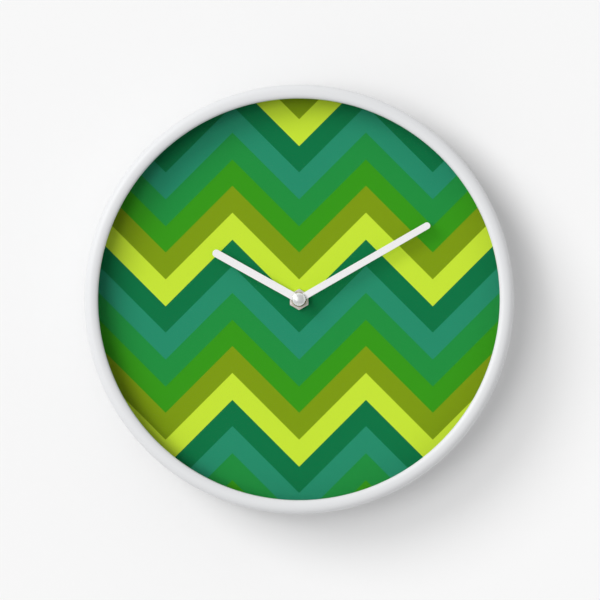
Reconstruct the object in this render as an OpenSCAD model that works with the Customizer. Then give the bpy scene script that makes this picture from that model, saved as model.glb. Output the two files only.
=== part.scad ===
// Round wall clock: white frame ring, printed dial, two hands and a battery quartz movement.
// Every piece is drawn with the dial facing up the local z axis, then stood up against the wall.

/* [Frame] */
// Outside diameter of the frame ring
frame_d = 254; // [210:1:330]
// Width of the ring's face as seen from the front
ring_w = 8.8; // [7:0.1:14]
// Width of the rounding at the ring's inner front edge
inner_round = 3.6; // [0.8:0.1:4]
// Height over which the ring's inner front edge rounds off
inner_drop = 2.5; // [0.8:0.1:4]
// Height over which the ring's outer front edge rounds off
front_drop = 5; // [2:0.1:8]
// How full the rounded face is: 2 is an ellipse, more is fuller
fullness = 2.4; // [2:0.1:3.5]
// Taper of the ring's outer side from the wall to the rounded face
side_draft = 0.6; // [0:0.1:1.2]
// Depth of the rebate behind the lip
rebate = 3.2; // [2:0.1:4]
// Thickness of the lip in front of the glazing
lip_t = 3.5; // [1.8:0.1:5]
// Rounding of the ring's outer rear edge
rear_round = 1; // [0.5:0.1:2]
// Number of framer's points around the board
point_count = 8; // [4:1:12]
// Width of a framer's point
point_w = 9.6; // [6:0.2:14]
// Thickness of a framer's point
point_t = 0.6; // [0.4:0.1:1]
// Length of a framer's point over the board
point_reach = 11.8; // [8:0.1:18]
// Length of a framer's point driven into the frame
point_bite = 3; // [2:0.1:4]

/* [Glazing and dial] */
// Thickness of the clear glazing disc
lens_t = 1.6; // [1.5:0.1:3]
// Free height between the dial and the glazing, which sets the clock's depth
hand_room = 12.8; // [12.5:0.1:20]
// Wall of the ring that holds the glazing off the dial
spacer_t = 1.9; // [1:0.1:2.6]
// Thickness of the printed dial sheet
print_t = 0.3; // [0.2:0.05:0.6]
// Thickness of the dial board
board_t = 3; // [2:0.1:4]

/* [Hands] */
// Reach of the hour hand from its axis
hour_len = 58.2; // [40:0.1:75]
// Reach of the minute hand from its axis
minute_len = 89.1; // [60:0.1:110]
// Width of the hour hand
hour_w = 4.6; // [3:0.1:7]
// Width of the minute hand
minute_w = 4.1; // [3:0.1:6]
// Thickness of both hands
hand_t = 0.6; // [0.4:0.1:0.9]
// Direction of the hour hand, anticlockwise from three o'clock
hour_angle = 150.9; // [0:0.1:360]
// Direction of the minute hand, anticlockwise from three o'clock
minute_angle = 29.9; // [0:0.1:360]
// Radius of the hour hand's hub
hour_hub_r = 3.9; // [3.6:0.1:7]
// Radius of the hour hand's collet
collet_r = 3.4; // [3:0.1:4]
// Radius of the minute hand's hub
minute_hub_r = 3.7; // [3:0.1:6]
// Height of the hour hand above the bush
hour_lift = 1.1; // [0.8:0.1:1.6]
// Height of the minute hand above the hour hand
minute_lift = 1.7; // [1.2:0.1:2.4]
// Radius of the domed cap nut
cap_r = 3.95; // [3.2:0.05:6]
// Height of the domed cap nut
cap_h = 3.7; // [3.5:0.1:5]
// Height of the cap nut's straight skirt
cap_skirt = 2.5; // [0.8:0.1:2.8]

/* [Hub] */
// Radius over the thread of the bush
bush_r = 3.95; // [3.6:0.05:4.8]
// Bore radius of the bush
bush_bore_r = 2.75; // [2.7:0.05:3.1]
// Height of the bush above the nut
bush_out = 0.7; // [0.3:0.1:1.2]
// Width of the hexagon nut across its flats
nut_af = 11; // [10:0.5:14]
// Thickness of the hexagon nut
nut_t = 2.5; // [2:0.1:3.2]
// Thickness of the brass washer
washer_t = 0.5; // [0.3:0.1:0.8]
// Radius of the rubber gasket
gasket_r = 10; // [7:0.5:11]
// Thickness of the rubber gasket
gasket_t = 0.8; // [0.5:0.1:1.5]
// Outer radius of the hour wheel's tube
hour_tube_r = 2.55; // [2.4:0.05:2.65]
// Bore radius of the hour wheel's tube
hour_bore_r = 2; // [1.9:0.02:2.1]
// Outer radius of the minute cannon's tube
minute_tube_r = 1.85; // [1.7:0.01:1.88]
// Radius over the thread that takes the cap nut
minute_thread_r = 1.6; // [1.4:0.05:1.7]
// Length of that thread above the minute hand
thread_len = 2.2; // [1.5:0.1:2.6]
// Bore radius of the minute cannon
minute_bore_r = 0.75; // [0.7:0.01:0.9]

/* [Hanger] */
// Thickness of the hanger's steel
hanger_t = 0.8; // [0.6:0.1:1.2]
// Width of the hanger
hanger_w = 22; // [18:0.5:30]
// Gap between the hanger's tab and the wall
tab_gap = 2.2; // [1.5:0.1:4]
// Height of the crank above the movement case
crank_up = 6.8; // [5:0.1:10]
// Height of the keyhole's entry above the movement case
entry_up = 16; // [14:0.5:24]
// Radius of the keyhole's entry
entry_r = 4.25; // [3.5:0.05:5]
// Width of the keyhole's slot
slot_w = 4.5; // [3.5:0.1:5]
// Rise of the keyhole's slot above the entry
slot_rise = 7.5; // [6:0.5:10]

/* [Movement case] */
// Diameter of the battery cell
cell_d = 14.5; // [12:0.1:18]
// Length of the battery cell over its button
cell_len = 50.5; // [42:0.5:62]
// Radius of the cell's button
button_r = 2.7; // [2:0.1:3.5]
// Height of the cell's button
button_h = 1.2; // [0.8:0.1:2]
// Thickness of the cell's sleeve
sleeve_t = 0.2; // [0.15:0.05:0.4]
// Height of the movement case above the hands' axis
case_up = 28; // [27:0.5:34]
// Corner radius of the movement case
case_r = 3; // [2:0.5:5]
// Wall of the movement's front shell
shell_t = 1.2; // [1:0.1:1.6]
// Wall of the battery bay
bay_t = 1; // [0.8:0.1:1.5]
// Thickness of the movement's rear cover
cover_t = 1.3; // [1:0.1:1.6]
// Gap between the movement and the wall
wall_gap = 1.2; // [0.8:0.1:3]
// Width of the finger notch below the cell
notch_w = 18; // [12:1:24]
// Depth of the finger notch
notch_depth = 6; // [4:0.5:8]
// Width of the cover's snap tongues
tongue_w = 4; // [3:0.5:6]
// Thickness of the cover's snap tongues
tongue_t = 1; // [0.8:0.1:1.4]
// Length of the cover's snap tongues
tongue_len = 3.8; // [3:0.1:5]
// Thickness of the battery contacts
leaf_t = 0.4; // [0.3:0.05:0.5]
// Width of the contacts at the cell
leaf_w = 10; // [7:0.5:12]
// Depth of the contacts' tails
tail_w = 3.2; // [2:0.1:4]

/* [Wheels and plates] */
// Tooth module of the cannon pinion, minute wheel and setting gear
motion_module = 0.36; // [0.3:0.01:0.44]
// Tooth module of the seconds pinion and third wheel
third_module = 0.3; // [0.24:0.01:0.36]
// Tooth module of the rotor pinion and intermediate wheel
rotor_module = 0.25; // [0.2:0.01:0.3]
// Thinning of every tooth, so that the flanks run free
play = 0.06; // [0.04:0.01:0.08]
// Thickness of the wheels
wheel_t = 1; // [0.8:0.1:1.2]
// Thickness of the two bearing plates
plate_t = 1; // [0.8:0.1:1.2]
// Free height between wheels that pass over each other
level_gap = 0.5; // [0.4:0.1:0.8]
// End play of the wheels between the plates
end_play = 0.3; // [0.2:0.05:0.4]
// Room for the clutch spring under the centre wheel
clutch_room = 0.35; // [0.3:0.05:0.5]
// Radius of the clutch spring
clutch_r = 3.4; // [2.8:0.1:4]
// Radius of the pivots
pivot_r = 0.4; // [0.3:0.05:0.5]
// Radius of the arbors
arbor_r = 0.6; // [0.5:0.05:0.65]
// Radius of the plates' pillars
pillar_r = 1.6; // [1.4:0.1:2]
// Radius of the setting arbor
setter_r = 1.2; // [1:0.1:1.5]
// Radius of the setting knob
knob_r = 5.1; // [4:0.1:6]
// Thickness of the setting knob
knob_t = 3.2; // [2.5:0.1:4]
// Head radius of the movement's screws
head_r = 1.5; // [1.3:0.1:1.8]
// Head height of the movement's screws
head_h = 0.7; // [0.5:0.1:1]
// Shank radius of the movement's screws
shank_r = 0.75; // [0.6:0.05:0.85]
// Shank length of the movement's screws
shank_len = 5; // [4:0.5:6]

/* [Motor and circuit] */
// Radius of the rotor magnet
magnet_r = 3; // [2.5:0.1:3.5]
// Height of the rotor magnet
magnet_h = 3; // [2:0.1:3.2]
// Radius of the rotor's hub in the magnet
rotor_hub_r = 1.1; // [1:0.05:1.3]
// Air gap between the magnet and the stator
air_gap = 0.5; // [0.3:0.1:0.8]
// Width of the stator around the rotor
stator_rim = 1.6; // [1:0.1:2]
// Thickness of the stator and of the coil's core
iron_t = 1; // [0.8:0.1:1.4]
// Width of the stator's arms
arm_w = 3.5; // [3:0.1:4]
// Width of the coil's core
core_w = 3.2; // [2.8:0.1:3.6]
// Length of the coil over its flanges
coil_len = 12.5; // [9:0.5:14]
// Radius of the coil's flanges
flange_r = 4.2; // [3.6:0.1:4.6]
// Thickness of the coil's flanges
flange_t = 1; // [0.6:0.1:1.4]
// Radius of the coil's winding
winding_r = 3.7; // [3.2:0.1:4]
// Wall of the coil's bobbin
bobbin_t = 0.8; // [0.6:0.1:1]
// Height of the coil above the hands' axis
coil_y = 20; // [19:0.5:22]
// Width of the circuit board
board_h = 7.8; // [6:0.1:9]
// Thickness of the circuit board
circuit_t = 1; // [0.8:0.1:1.6]
// Radius of the quartz can
quartz_r = 1; // [0.8:0.1:1.5]
// Length of the quartz can
quartz_len = 6; // [5:0.5:8]
// Radius of the sealed chip
chip_r = 3; // [2:0.1:3.5]
// Height of the sealed chip
chip_h = 1.2; // [0.8:0.1:1.5]

/* [Clearances] */
// Clearance of the glazing, spacer and board in the rebate
seat_gap = 0.3; // [0.2:0.05:0.6]
// Clearance of parts that are pressed or screwed together
press_gap = 0.02; // [0.01:0.01:0.05]
// Clearance of pivots in their holes
pivot_gap = 0.08; // [0.05:0.01:0.1]
// Clearance of parts that slip over each other
slip_gap = 0.1; // [0.05:0.01:0.2]
// Clearance of moving parts that pass each other
pass_gap = 0.3; // [0.2:0.05:0.5]

/* [Hidden] */
$fn = 96;

// Wheel teeth: numbers, shifts and heights
shift_8 = 0.5;
shift_10 = 0.4;
shift_12 = 0.35;
pinion_ha = 0.75;
wheel_ha = 0.9;
setter_ha = 0.8;

// Levels in the movement, counted back from the inside of the shell's front wall
d_hour1 = end_play;
d_hour0 = d_hour1 + wheel_t;
d_cannon1 = d_hour0 + level_gap;
d_minute1 = d_cannon1 + level_gap;
d_minute0 = d_minute1 + wheel_t;
d_mid1 = d_minute0 + end_play;
d_mid0 = d_mid1 + plate_t;
d_centre1 = d_mid0 + end_play;
d_centre0 = d_centre1 + wheel_t;
d_spigot0 = d_centre0 + clutch_room;
d_second_pinion1 = d_spigot0 + end_play / 2;
d_third1 = d_second_pinion1 + 0.4;
d_third0 = d_third1 + wheel_t;
d_second1 = d_third0 + level_gap;
d_second0 = d_second1 + wheel_t;
d_inter1 = d_second0 + level_gap;
d_inter0 = d_inter1 + wheel_t;
d_bridge1 = d_inter0 + level_gap;
d_bridge0 = d_bridge1 + plate_t;
train_stack = d_bridge0 + head_h + level_gap;

// Frame and stack, from the wall to the front
frame_r = frame_d / 2;
open_r = frame_r - ring_w;
rebate_r = open_r + rebate;
seat_r = rebate_r - seat_gap;
front_round = ring_w - inner_round - side_draft;
bend_steps = 24;
case_t = max(cell_d + pass_gap, train_stack + cover_t) + shell_t;
z_case0 = wall_gap;
z_case1 = z_case0 + case_t;
z_hanger1 = z_case1 + hanger_t;
z_board0 = z_hanger1 + gasket_t;
z_board1 = z_board0 + board_t;
z_dial = z_board1 + print_t;
z_lens0 = z_dial + hand_room;
z_lens1 = z_lens0 + lens_t;
depth = z_lens1 + lip_t;

// Hub stack
z_nut0 = z_dial + washer_t;
z_nut1 = z_nut0 + nut_t;
z_bush1 = z_nut1 + bush_out;
z_hour0 = z_bush1 + hour_lift;
z_minute0 = z_hour0 + hand_t + minute_lift;
z_cap0 = z_minute0 + hand_t;
dial_hole_r = bush_r + 0.25;

// Axes of the wheels, seen from the front, with the hands' axis at the origin
motion_dist = 24 * motion_module;
hour_module = motion_dist * 2 / 50;
set_dist = 30 * motion_module;
third_dist = 34 * third_module;
centre_module = third_dist * 2 / 72;
third_tip = tip_r(60, third_module, -shift_8, wheel_ha);
centre_tip = tip_r(64, centre_module, -shift_8, wheel_ha);
second_module = (centre_tip + arbor_r + pass_gap) / 28;
inter_dist = 28 * second_module;
inter_tip = tip_r(50, rotor_module, -shift_10, wheel_ha);
rotor_dist = 30 * rotor_module;
ang_w = 120;
ang_k = 130;
ang_t = 180;
ang_i = -20;
ang_r = 60;
axis_w = polar(motion_dist, ang_w);
axis_k = axis_w + polar(set_dist, ang_k);
axis_t = polar(third_dist, ang_t);
axis_i = polar(inter_dist, ang_i);
axis_r = axis_i + polar(rotor_dist, ang_r);
stator_r = magnet_r + air_gap + stator_rim;
pillars = [
    axis_t + polar(third_tip + pillar_r + 5 * pass_gap, 140),
    axis_t + polar(third_tip + pillar_r + 5 * pass_gap, 220),
    axis_r + [-2.7, stator_r + pillar_r + 4 * pass_gap],
    axis_i + polar(inter_tip + pillar_r + 7 * pass_gap, -26)
];
plate_edge = pillar_r + 3 * pass_gap;
plate_x0 = pillars[0][0] - plate_edge;
plate_x1 = pillars[3][0] + plate_edge;
pivot_hole_r = pivot_r + pivot_gap;

// Motor and circuit
arm_left = axis_r[0] - stator_r - arm_w - slip_gap;
coil_x0 = arm_left + arm_w + level_gap;
coil_x1 = coil_x0 + coil_len;
arm_right = coil_x1 + level_gap + arm_w;
core_holes = [[arm_left + arm_w / 2, coil_y], [arm_right - arm_w / 2, coil_y]];
arm_y0 = axis_r[1] - 2.2;
arm_y1 = coil_y + core_w / 2 + 0.4;

// Movement case
part_y1 = -max(third_tip, centre_tip, inter_tip - axis_i[1]) - pillar_r - level_gap / 2;
part_y0 = part_y1 - bay_t;
y_cell = part_y0 - pass_gap / 2 - cell_d / 2;
bay_y0 = y_cell - cell_d / 2 - pass_gap / 2;
case_y0 = bay_y0 - bay_t;
bow_min = 2;
cell_room = cell_len + 2 * leaf_t + 2 * slip_gap + bow_min;
motor_room = 2 * (arm_right + leaf_t + 4 * pass_gap);
wall_x = max(cell_room, motor_room) / 2;
case_w = 2 * (wall_x + shell_t);
wall_top = case_up - shell_t;
zf = z_case1 - shell_t;
z_cover1 = z_case0 + cover_t;
z_cell = zf - pass_gap / 2 - cell_d / 2;
cell_x1 = wall_x - leaf_t - slip_gap;
cell_x0 = cell_x1 - cell_len;
z_mid1 = zf - d_mid1;
z_mid0 = zf - d_mid0;
z_bridge1 = zf - d_bridge1;
z_bridge0 = zf - d_bridge0;
z_knob0 = z_case0 + 0.2;
z_well = z_knob0 + knob_t + 0.4;
well_r = knob_r + level_gap;
well_t = 0.9;
stator_z0 = zf - d_second1 + end_play;
core_z0 = stator_z0 + iron_t;
core_z1 = core_z0 + iron_t;
coil_z = (core_z0 + core_z1) / 2;
bore_w = core_w + 2 * slip_gap;
bore_t = iron_t + 2 * slip_gap;
board_x0 = -wall_x + leaf_t + slip_gap;
board_x1 = coil_x0 - arm_w - level_gap - 5 * pass_gap - 1;
board_y1 = wall_top - leaf_t - slip_gap;
board_y0 = board_y1 - board_h;
board_z1 = core_z1;
board_z0 = board_z1 - circuit_t;
post_r = 1.5;
board_posts = [
    [board_x0 + post_r + 1, (board_y0 + board_y1) / 2],
    [board_x1 - post_r - level_gap, (board_y0 + board_y1) / 2]
];
core_post_r = 1.8;
tail_z0 = board_z0 - 0.2;
tail_z1 = tail_z0 + tail_w;
tongue_y = 12;
tongue_xs = [-21, 15];

// Where each wheel's teeth stand so that the flanks mesh
ph_minute = mesh_phase(ang_w, 0, 12, 36);
ph_setter = mesh_phase(ang_k, ph_minute, 36, 24);
ph_hour = mesh_phase(ang_w + 180, 0, 10, 40);
ph_third = mesh_phase(ang_t, 0, 8, 60);
ph_centre = mesh_phase(ang_t + 180, 0, 8, 64);
ph_second = mesh_phase(ang_i + 180, 0, 8, 48);
ph_inter = mesh_phase(ang_r + 180, 0, 10, 50);

// Point at a distance and an angle
function polar(r, a) = [r * cos(a), r * sin(a)];

// Tip radius of a toothed disc
function tip_r(z, m, x, ha) = m * z / 2 + m * (ha + x);

// Angle by which an involute has turned at radius r
function roll(rb, r) = tan(acos(min(1, rb / r))) * 180 / PI - acos(min(1, rb / r));

// Turn of gear B whose gap meets gear A's tooth on the line of centres
function mesh_phase(alpha, phase_a, za, zb) =
    alpha + 180 - (za / zb) * (phase_a - alpha) - 180 / zb;

// Half the angle of a tooth at radius r
function half_tooth(z, m, x, r) =
    90 / z + (2 * x * tan(20) / z) * 180 / PI - (play / (m * z)) * 180 / PI
    + roll(m * z / 2 * cos(20), m * z / 2) - roll(m * z / 2 * cos(20), r);

// One tooth's outline: root, flank, tip and back
function tooth(z, m, x, rf, r1, ra, k) =
    let (c = 360 * k / z, h1 = half_tooth(z, m, x, r1))
    let (r2 = (r1 + ra) / 2, h2 = half_tooth(z, m, x, r2), h3 = half_tooth(z, m, x, ra))
    [
        polar(rf, c - h1), polar(r1, c - h1), polar(r2, c - h2), polar(ra, c - h3),
        polar(ra, c + h3), polar(r2, c + h2), polar(r1, c + h1), polar(rf, c + h1)
    ];

// Stands a piece drawn around the z axis up against the wall
module stand() {
    rotate([90, 0, 0]) children();
}

// Moves children to an axis and a level
module at(axis, z) {
    translate([axis[0], axis[1], z]) children();
}

// Round bar between two levels
module bar(r, z0, z1) {
    translate([0, 0, z0]) cylinder(r = r, h = z1 - z0);
}

// Ring between two levels
module tube(r, bore, z0, z1) {
    difference() {
        bar(r, z0, z1);
        bar(bore, z0 - 1, z1 + 1);
    }
}

// Box between two corners
module block(x0, y0, z0, x1, y1, z1) {
    translate([x0, y0, z0]) cube([x1 - x0, y1 - y0, z1 - z0]);
}

// Rectangle with rounded corners
module round_rect(x0, y0, x1, y1, r) {
    translate([x0 + r, y0]) square([x1 - x0 - 2 * r, y1 - y0]);
    translate([x0, y0 + r]) square([x1 - x0, y1 - y0 - 2 * r]);
    translate([x0 + r, y0 + r]) circle(r);
    translate([x1 - r, y0 + r]) circle(r);
    translate([x0 + r, y1 - r]) circle(r);
    translate([x1 - r, y1 - r]) circle(r);
}

// Toothed disc with involute flanks between two levels
module gear(z, m, x, ha, z0, z1, phase) {
    rp = m * z / 2;
    ra = tip_r(z, m, x, ha);
    rf = rp - m * (1.25 - x);
    r1 = max(rp * cos(20), rf + 0.15 * m);
    translate([0, 0, z0]) rotate(phase) linear_extrude(z1 - z0)
        polygon([for (k = [0 : z - 1]) each tooth(z, m, x, rf, r1, ra, k)]);
}

module pinion(z, m, x, z0, z1, phase) {
    gear(z, m, x, pinion_ha, z0, z1, phase);
}

module wheel(z, m, x, z0, z1, phase) {
    gear(z, m, -x, wheel_ha, z0, z1, phase);
}

// Quarter of a full ellipse, from its side to its top
function bend(w, h) = [
    for (k = [0 : bend_steps])
        let (a = 90 * k / bend_steps)
        [w * pow(cos(a), 2 / fullness), h * pow(sin(a), 2 / fullness)]
];

// Section of the frame ring: radius across, distance from the wall up
module frame_profile() {
    crest = open_r + inner_round;
    outer = [for (p = bend(front_round, front_drop)) [crest + p[0], depth - front_drop + p[1]]];
    inner = [for (p = bend(inner_round, inner_drop)) [crest - p[0], depth - inner_drop + p[1]]];
    difference() {
        polygon([
            [open_r, 0], [frame_r, 0], [frame_r, rear_round], each outer,
            for (k = [bend_steps - 1 : -1 : 0]) inner[k]
        ]);
        translate([0, -1]) square([rebate_r, z_lens1 + 1]);
        translate([frame_r - rear_round, 0]) difference() {
            translate([0, -1]) square(rear_round + 1);
            translate([0, rear_round]) circle(rear_round);
        }
    }
}

// White ring with a rounded face, rebated behind for the glazing and the board
module frame_ring() {
    half = point_w / 2 + slip_gap / 2;
    color("white") difference() {
        rotate_extrude() frame_profile();
        for (i = [0 : point_count - 1])
            rotate((i + 0.5) * 360 / point_count)
                block(rebate_r - 1, -half, z_board0 - point_t - slip_gap / 2,
                    rebate_r + point_bite + slip_gap / 2, half, z_board0 + slip_gap / 2);
    }
}

// Clear disc against the frame's lip
module lens() {
    color([0.8, 0.9, 0.95, 0.3]) bar(seat_r, z_lens0, z_lens1);
}

// Ring that holds the glazing off the dial
module spacer_ring() {
    color("dimgray") tube(seat_r, seat_r - spacer_t, z_dial, z_lens0);
}

// Printed sheet on the board
module dial_print() {
    color("limegreen") tube(seat_r - slip_gap, dial_hole_r, z_board1, z_dial);
}

// Board that carries the dial and the movement
module dial_board() {
    color("burlywood") tube(seat_r, dial_hole_r, z_board0, z_board1);
}

// Steel tabs driven into the frame behind the board
module framer_points() {
    inner = rebate_r - point_reach + point_w / 2;
    color("silver") for (i = [0 : point_count - 1])
        rotate((i + 0.5) * 360 / point_count)
            translate([0, 0, z_board0 - point_t]) linear_extrude(point_t) union() {
                translate([inner, -point_w / 2]) square([rebate_r + point_bite - inner, point_w]);
                translate([inner, 0]) circle(point_w / 2);
            }
}

// Quarter of a bent strip around its centre
module bend(r, turn) {
    rotate(turn) intersection() {
        difference() {
            circle(r);
            circle(r - hanger_t);
        }
        square(r + 1);
    }
}

// Section of the hanger: height across, distance from the wall up
module hanger_profile() {
    r = 2 * hanger_t;
    y1 = case_up + crank_up;
    top = case_up + entry_up + slot_rise + hanger_w / 2 + 1;
    translate([-hanger_w, z_case1]) square([y1 - r + hanger_w, hanger_t]);
    translate([y1 - r, z_hanger1 - r]) bend(r, 0);
    translate([y1 - hanger_t, tab_gap + r]) square([hanger_t, z_hanger1 - tab_gap - 2 * r]);
    translate([y1 - hanger_t + r, tab_gap + r]) bend(r, 180);
    translate([y1 - hanger_t + r, tab_gap]) square([top - y1, hanger_t]);
}

// Cranked steel strip clamped behind the board, with a keyhole near the wall
module hanger_bracket() {
    y_entry = case_up + entry_up;
    y_slot = y_entry + slot_rise;
    color("silver") difference() {
        intersection() {
            rotate([90, 0, 90]) translate([0, 0, -hanger_w / 2])
                linear_extrude(hanger_w) hanger_profile();
            translate([0, 0, -1]) linear_extrude(z_hanger1 + 2) union() {
                translate([-hanger_w / 2, 0]) square([hanger_w, y_slot - 2]);
                circle(hanger_w / 2);
                translate([0, y_slot - 2]) circle(hanger_w / 2);
            }
        }
        bar(bush_r + slip_gap, z_case1 - 1, z_hanger1 + 1);
        translate([0, y_entry, 0]) bar(entry_r, -1, z_case1 - 2);
        translate([0, y_slot, 0]) bar(slot_w / 2, -1, z_case1 - 2);
        block(-slot_w / 2, y_entry, -1, slot_w / 2, y_slot, z_case1 - 2);
    }
}

// Soft washer between the hanger and the board
module rubber_gasket() {
    color([0.15, 0.15, 0.15]) tube(gasket_r, bush_r + slip_gap, z_hanger1, z_board0);
}

// Flat washer under the nut
module brass_washer() {
    color("gold") tube(nut_af / 2 - 2 * slip_gap, bush_r + slip_gap, z_dial, z_nut0);
}

// Hexagon nut with its corners turned off on the front
module hex_nut() {
    corner = nut_af / 2 / cos(30);
    bevel = 0.5;
    thread_r = bush_r + slip_gap / 2;
    color("silver") difference() {
        intersection() {
            translate([0, 0, z_nut0]) rotate(30) cylinder(r = corner, h = nut_t, $fn = 6);
            union() {
                bar(corner + 0.1, z_nut0, z_nut1 - bevel);
                translate([0, 0, z_nut1 - bevel])
                    cylinder(r1 = corner + 0.1, r2 = nut_af / 2 - bevel / 2, h = bevel);
            }
        }
        bar(thread_r, z_nut0 - 1, z_nut1 + 1);
        translate([0, 0, z_nut1 - 0.3]) cylinder(r1 = thread_r, r2 = thread_r + 0.4, h = 0.31);
    }
}

// Threaded neck of the movement, held in the shell's front wall
module threaded_bush() {
    bevel = 0.4;
    color("gold") difference() {
        union() {
            bar(bush_r, zf, z_bush1 - bevel);
            translate([0, 0, z_bush1 - bevel])
                cylinder(r1 = bush_r, r2 = bush_r - bevel, h = bevel);
        }
        bar(bush_bore_r, zf - 1, z_bush1 + 1);
    }
}

// Straight blade with a round end and a round hub
module blade(reach, width, hub_r) {
    circle(hub_r);
    translate([0, -width / 2]) square([reach - width / 2, width]);
    translate([reach - width / 2, 0]) circle(width / 2);
}

// Hour hand on its collet
module hour_hand() {
    color("white") rotate(hour_angle) difference() {
        union() {
            translate([0, 0, z_hour0]) linear_extrude(hand_t) blade(hour_len, hour_w, hour_hub_r);
            bar(collet_r, z_bush1 + pass_gap, z_hour0);
        }
        bar(hour_tube_r + press_gap, z_bush1, z_hour0 + hand_t + 1);
    }
}

// Minute hand seated on the cannon's shoulder
module minute_hand() {
    color("white") rotate(minute_angle) difference() {
        translate([0, 0, z_minute0])
            linear_extrude(hand_t) blade(minute_len, minute_w, minute_hub_r);
        bar(minute_thread_r + press_gap, z_minute0 - 1, z_cap0 + 1);
    }
}

// Domed nut that closes the hands' stack, with a very small flat on its crown
module cap_nut() {
    dome = cap_h - cap_skirt;
    rise = dome + 0.02;
    dome_r = (cap_r * cap_r + rise * rise) / (2 * rise);
    color("white") difference() {
        translate([0, 0, z_cap0]) rotate_extrude() union() {
            square([cap_r, cap_skirt]);
            translate([0, cap_skirt]) intersection() {
                translate([0, rise - dome_r]) circle(dome_r);
                square([cap_r, dome]);
            }
        }
        bar(minute_thread_r + press_gap, z_cap0 - 1, z_cap0 + thread_len + slip_gap);
    }
}

// Outline of the movement case seen from the front
module case_outline() {
    round_rect(-case_w / 2, case_y0, case_w / 2, case_up, case_r);
}

// Front half of the movement case, with the battery bay, posts and bearings
module front_shell() {
    z_window = z_cover1 + tongue_len - 1.4;
    color([0.12, 0.12, 0.13]) difference() {
        union() {
            difference() {
                translate([0, 0, z_case0]) linear_extrude(case_t) case_outline();
                block(-wall_x, part_y1, z_case0 - 1, wall_x, wall_top, zf);
                block(-wall_x, bay_y0, z_case0 - 1, wall_x, part_y0, zf);
                block(-case_w, part_y1, z_case0 - 1, case_w, case_up + 1, z_cover1);
            }
            for (p = pillars) at(p, 0) bar(pillar_r, z_mid1, zf + shell_t / 2);
            for (p = core_holes) at(p, 0) bar(core_post_r, core_z1, zf + shell_t / 2);
            for (p = board_posts) at(p, 0) bar(post_r, board_z1, zf + shell_t / 2);
        }
        bar(bush_r + press_gap, zf - 1, z_case1 + 1);
        at(axis_w, 0) bar(pivot_hole_r, zf - 1, zf + 0.8);
        at(axis_k, 0) bar(pivot_hole_r, zf - 1, zf + 0.8);
        for (p = core_holes)
            at(p, 0) bar(shank_r + press_gap, core_z1 - 1, stator_z0 + shank_len + level_gap);
        block(-notch_w / 2, case_y0 - 1, z_case0 - 1, notch_w / 2, bay_y0 + 0.5,
            z_case0 + notch_depth);
        for (s = [-1, 1]) scale([s, 1, 1])
            block(wall_x - leaf_t - 2 * slip_gap, part_y0 - 1, tail_z0 - 2 * slip_gap,
                wall_x, part_y1 + 1, tail_z1 + 2 * slip_gap);
        for (s = [-1, 1]) scale([s, 1, 1])
            block(wall_x - 1, tongue_y - 2 * slip_gap, z_window, case_w,
                tongue_y + tongue_w + 2 * slip_gap, z_cover1 + tongue_len + 2 * slip_gap);
        for (x = tongue_xs)
            block(x - 2 * slip_gap, wall_top - 1, z_window, x + tongue_w + 2 * slip_gap,
                case_up + 1, z_cover1 + tongue_len + 2 * slip_gap);
    }
}

// Snap tongue of the rear cover, along +x at its wall
module tongue(wall, y0) {
    inner = wall - 2 * slip_gap - tongue_t;
    block(inner, y0, z_cover1 - 0.5, inner + tongue_t, y0 + tongue_w, z_cover1 + tongue_len);
    block(inner + tongue_t / 2, y0, z_cover1 + tongue_len - 1.2,
        wall + shell_t - 0.4, y0 + tongue_w, z_cover1 + tongue_len);
}

// Rear cover over the train, with a well for the setting knob
module rear_cover() {
    color([0.16, 0.16, 0.17]) difference() {
        union() {
            translate([0, 0, z_case0]) linear_extrude(cover_t) intersection() {
                case_outline();
                translate([-case_w, part_y1 + 2 * slip_gap]) square([2 * case_w, 2 * case_up]);
            }
            at(axis_k, 0) bar(well_r + well_t, z_case0, z_well + 1);
            for (s = [-1, 1]) scale([s, 1, 1]) tongue(wall_x, tongue_y);
            for (x = tongue_xs) rotate(90) scale([1, -1, 1]) tongue(wall_top, x);
        }
        at(axis_k, 0) bar(well_r, z_case0 - 1, z_well);
        at(axis_k, 0) bar(setter_r + slip_gap, z_case0 - 1, z_well + 2);
    }
}

// Outline of the two bearing plates
module plate_outline() {
    y0 = min(pillars[1][1], pillars[3][1]) - plate_edge;
    polygon([
        [plate_x0, y0], [plate_x1, y0],
        [plate_x1, pillars[3][1] + plate_edge], [axis_r[0] + 3.3, axis_r[1] + 4],
        [pillars[2][0] + plate_edge, pillars[2][1] + plate_edge],
        [-3, pillars[2][1] + plate_edge],
        [plate_x0, pillars[0][1] + plate_edge]
    ]);
}

// Plate between the motion work and the train, with four pillars
module mid_plate() {
    color("gainsboro") difference() {
        union() {
            translate([0, 0, z_mid0]) linear_extrude(plate_t) plate_outline();
            for (p = pillars) at(p, 0) bar(pillar_r, z_bridge1, z_mid0 + plate_t / 2);
        }
        bar(minute_tube_r + 2 * slip_gap, z_mid0 - 1, z_mid1 + 1);
        for (a = [axis_w, axis_t, axis_i, axis_r]) at(a, 0) bar(pivot_hole_r, z_mid0 - 1, z_mid1 + 1);
        for (p = pillars)
            at(p, 0) bar(shank_r + press_gap, z_bridge1 - 1, z_bridge0 + shank_len + level_gap);
        at(axis_k, 0) bar(setter_r + 1, z_mid0 - 1, z_mid1 + 1);
    }
}

// Rear bearing plate of the train
module rear_bridge() {
    color("gainsboro") difference() {
        translate([0, 0, z_bridge0]) linear_extrude(plate_t) plate_outline();
        for (a = [[0, 0], axis_t, axis_i, axis_r])
            at(a, 0) bar(pivot_hole_r, z_bridge0 - 1, z_bridge1 + 1);
        for (p = pillars) at(p, 0) bar(shank_r + slip_gap, z_bridge0 - 1, z_bridge1 + 1);
        at(axis_k, 0) bar(well_r + well_t + level_gap, z_bridge0 - 1, z_bridge1 + 1);
    }
}

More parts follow.
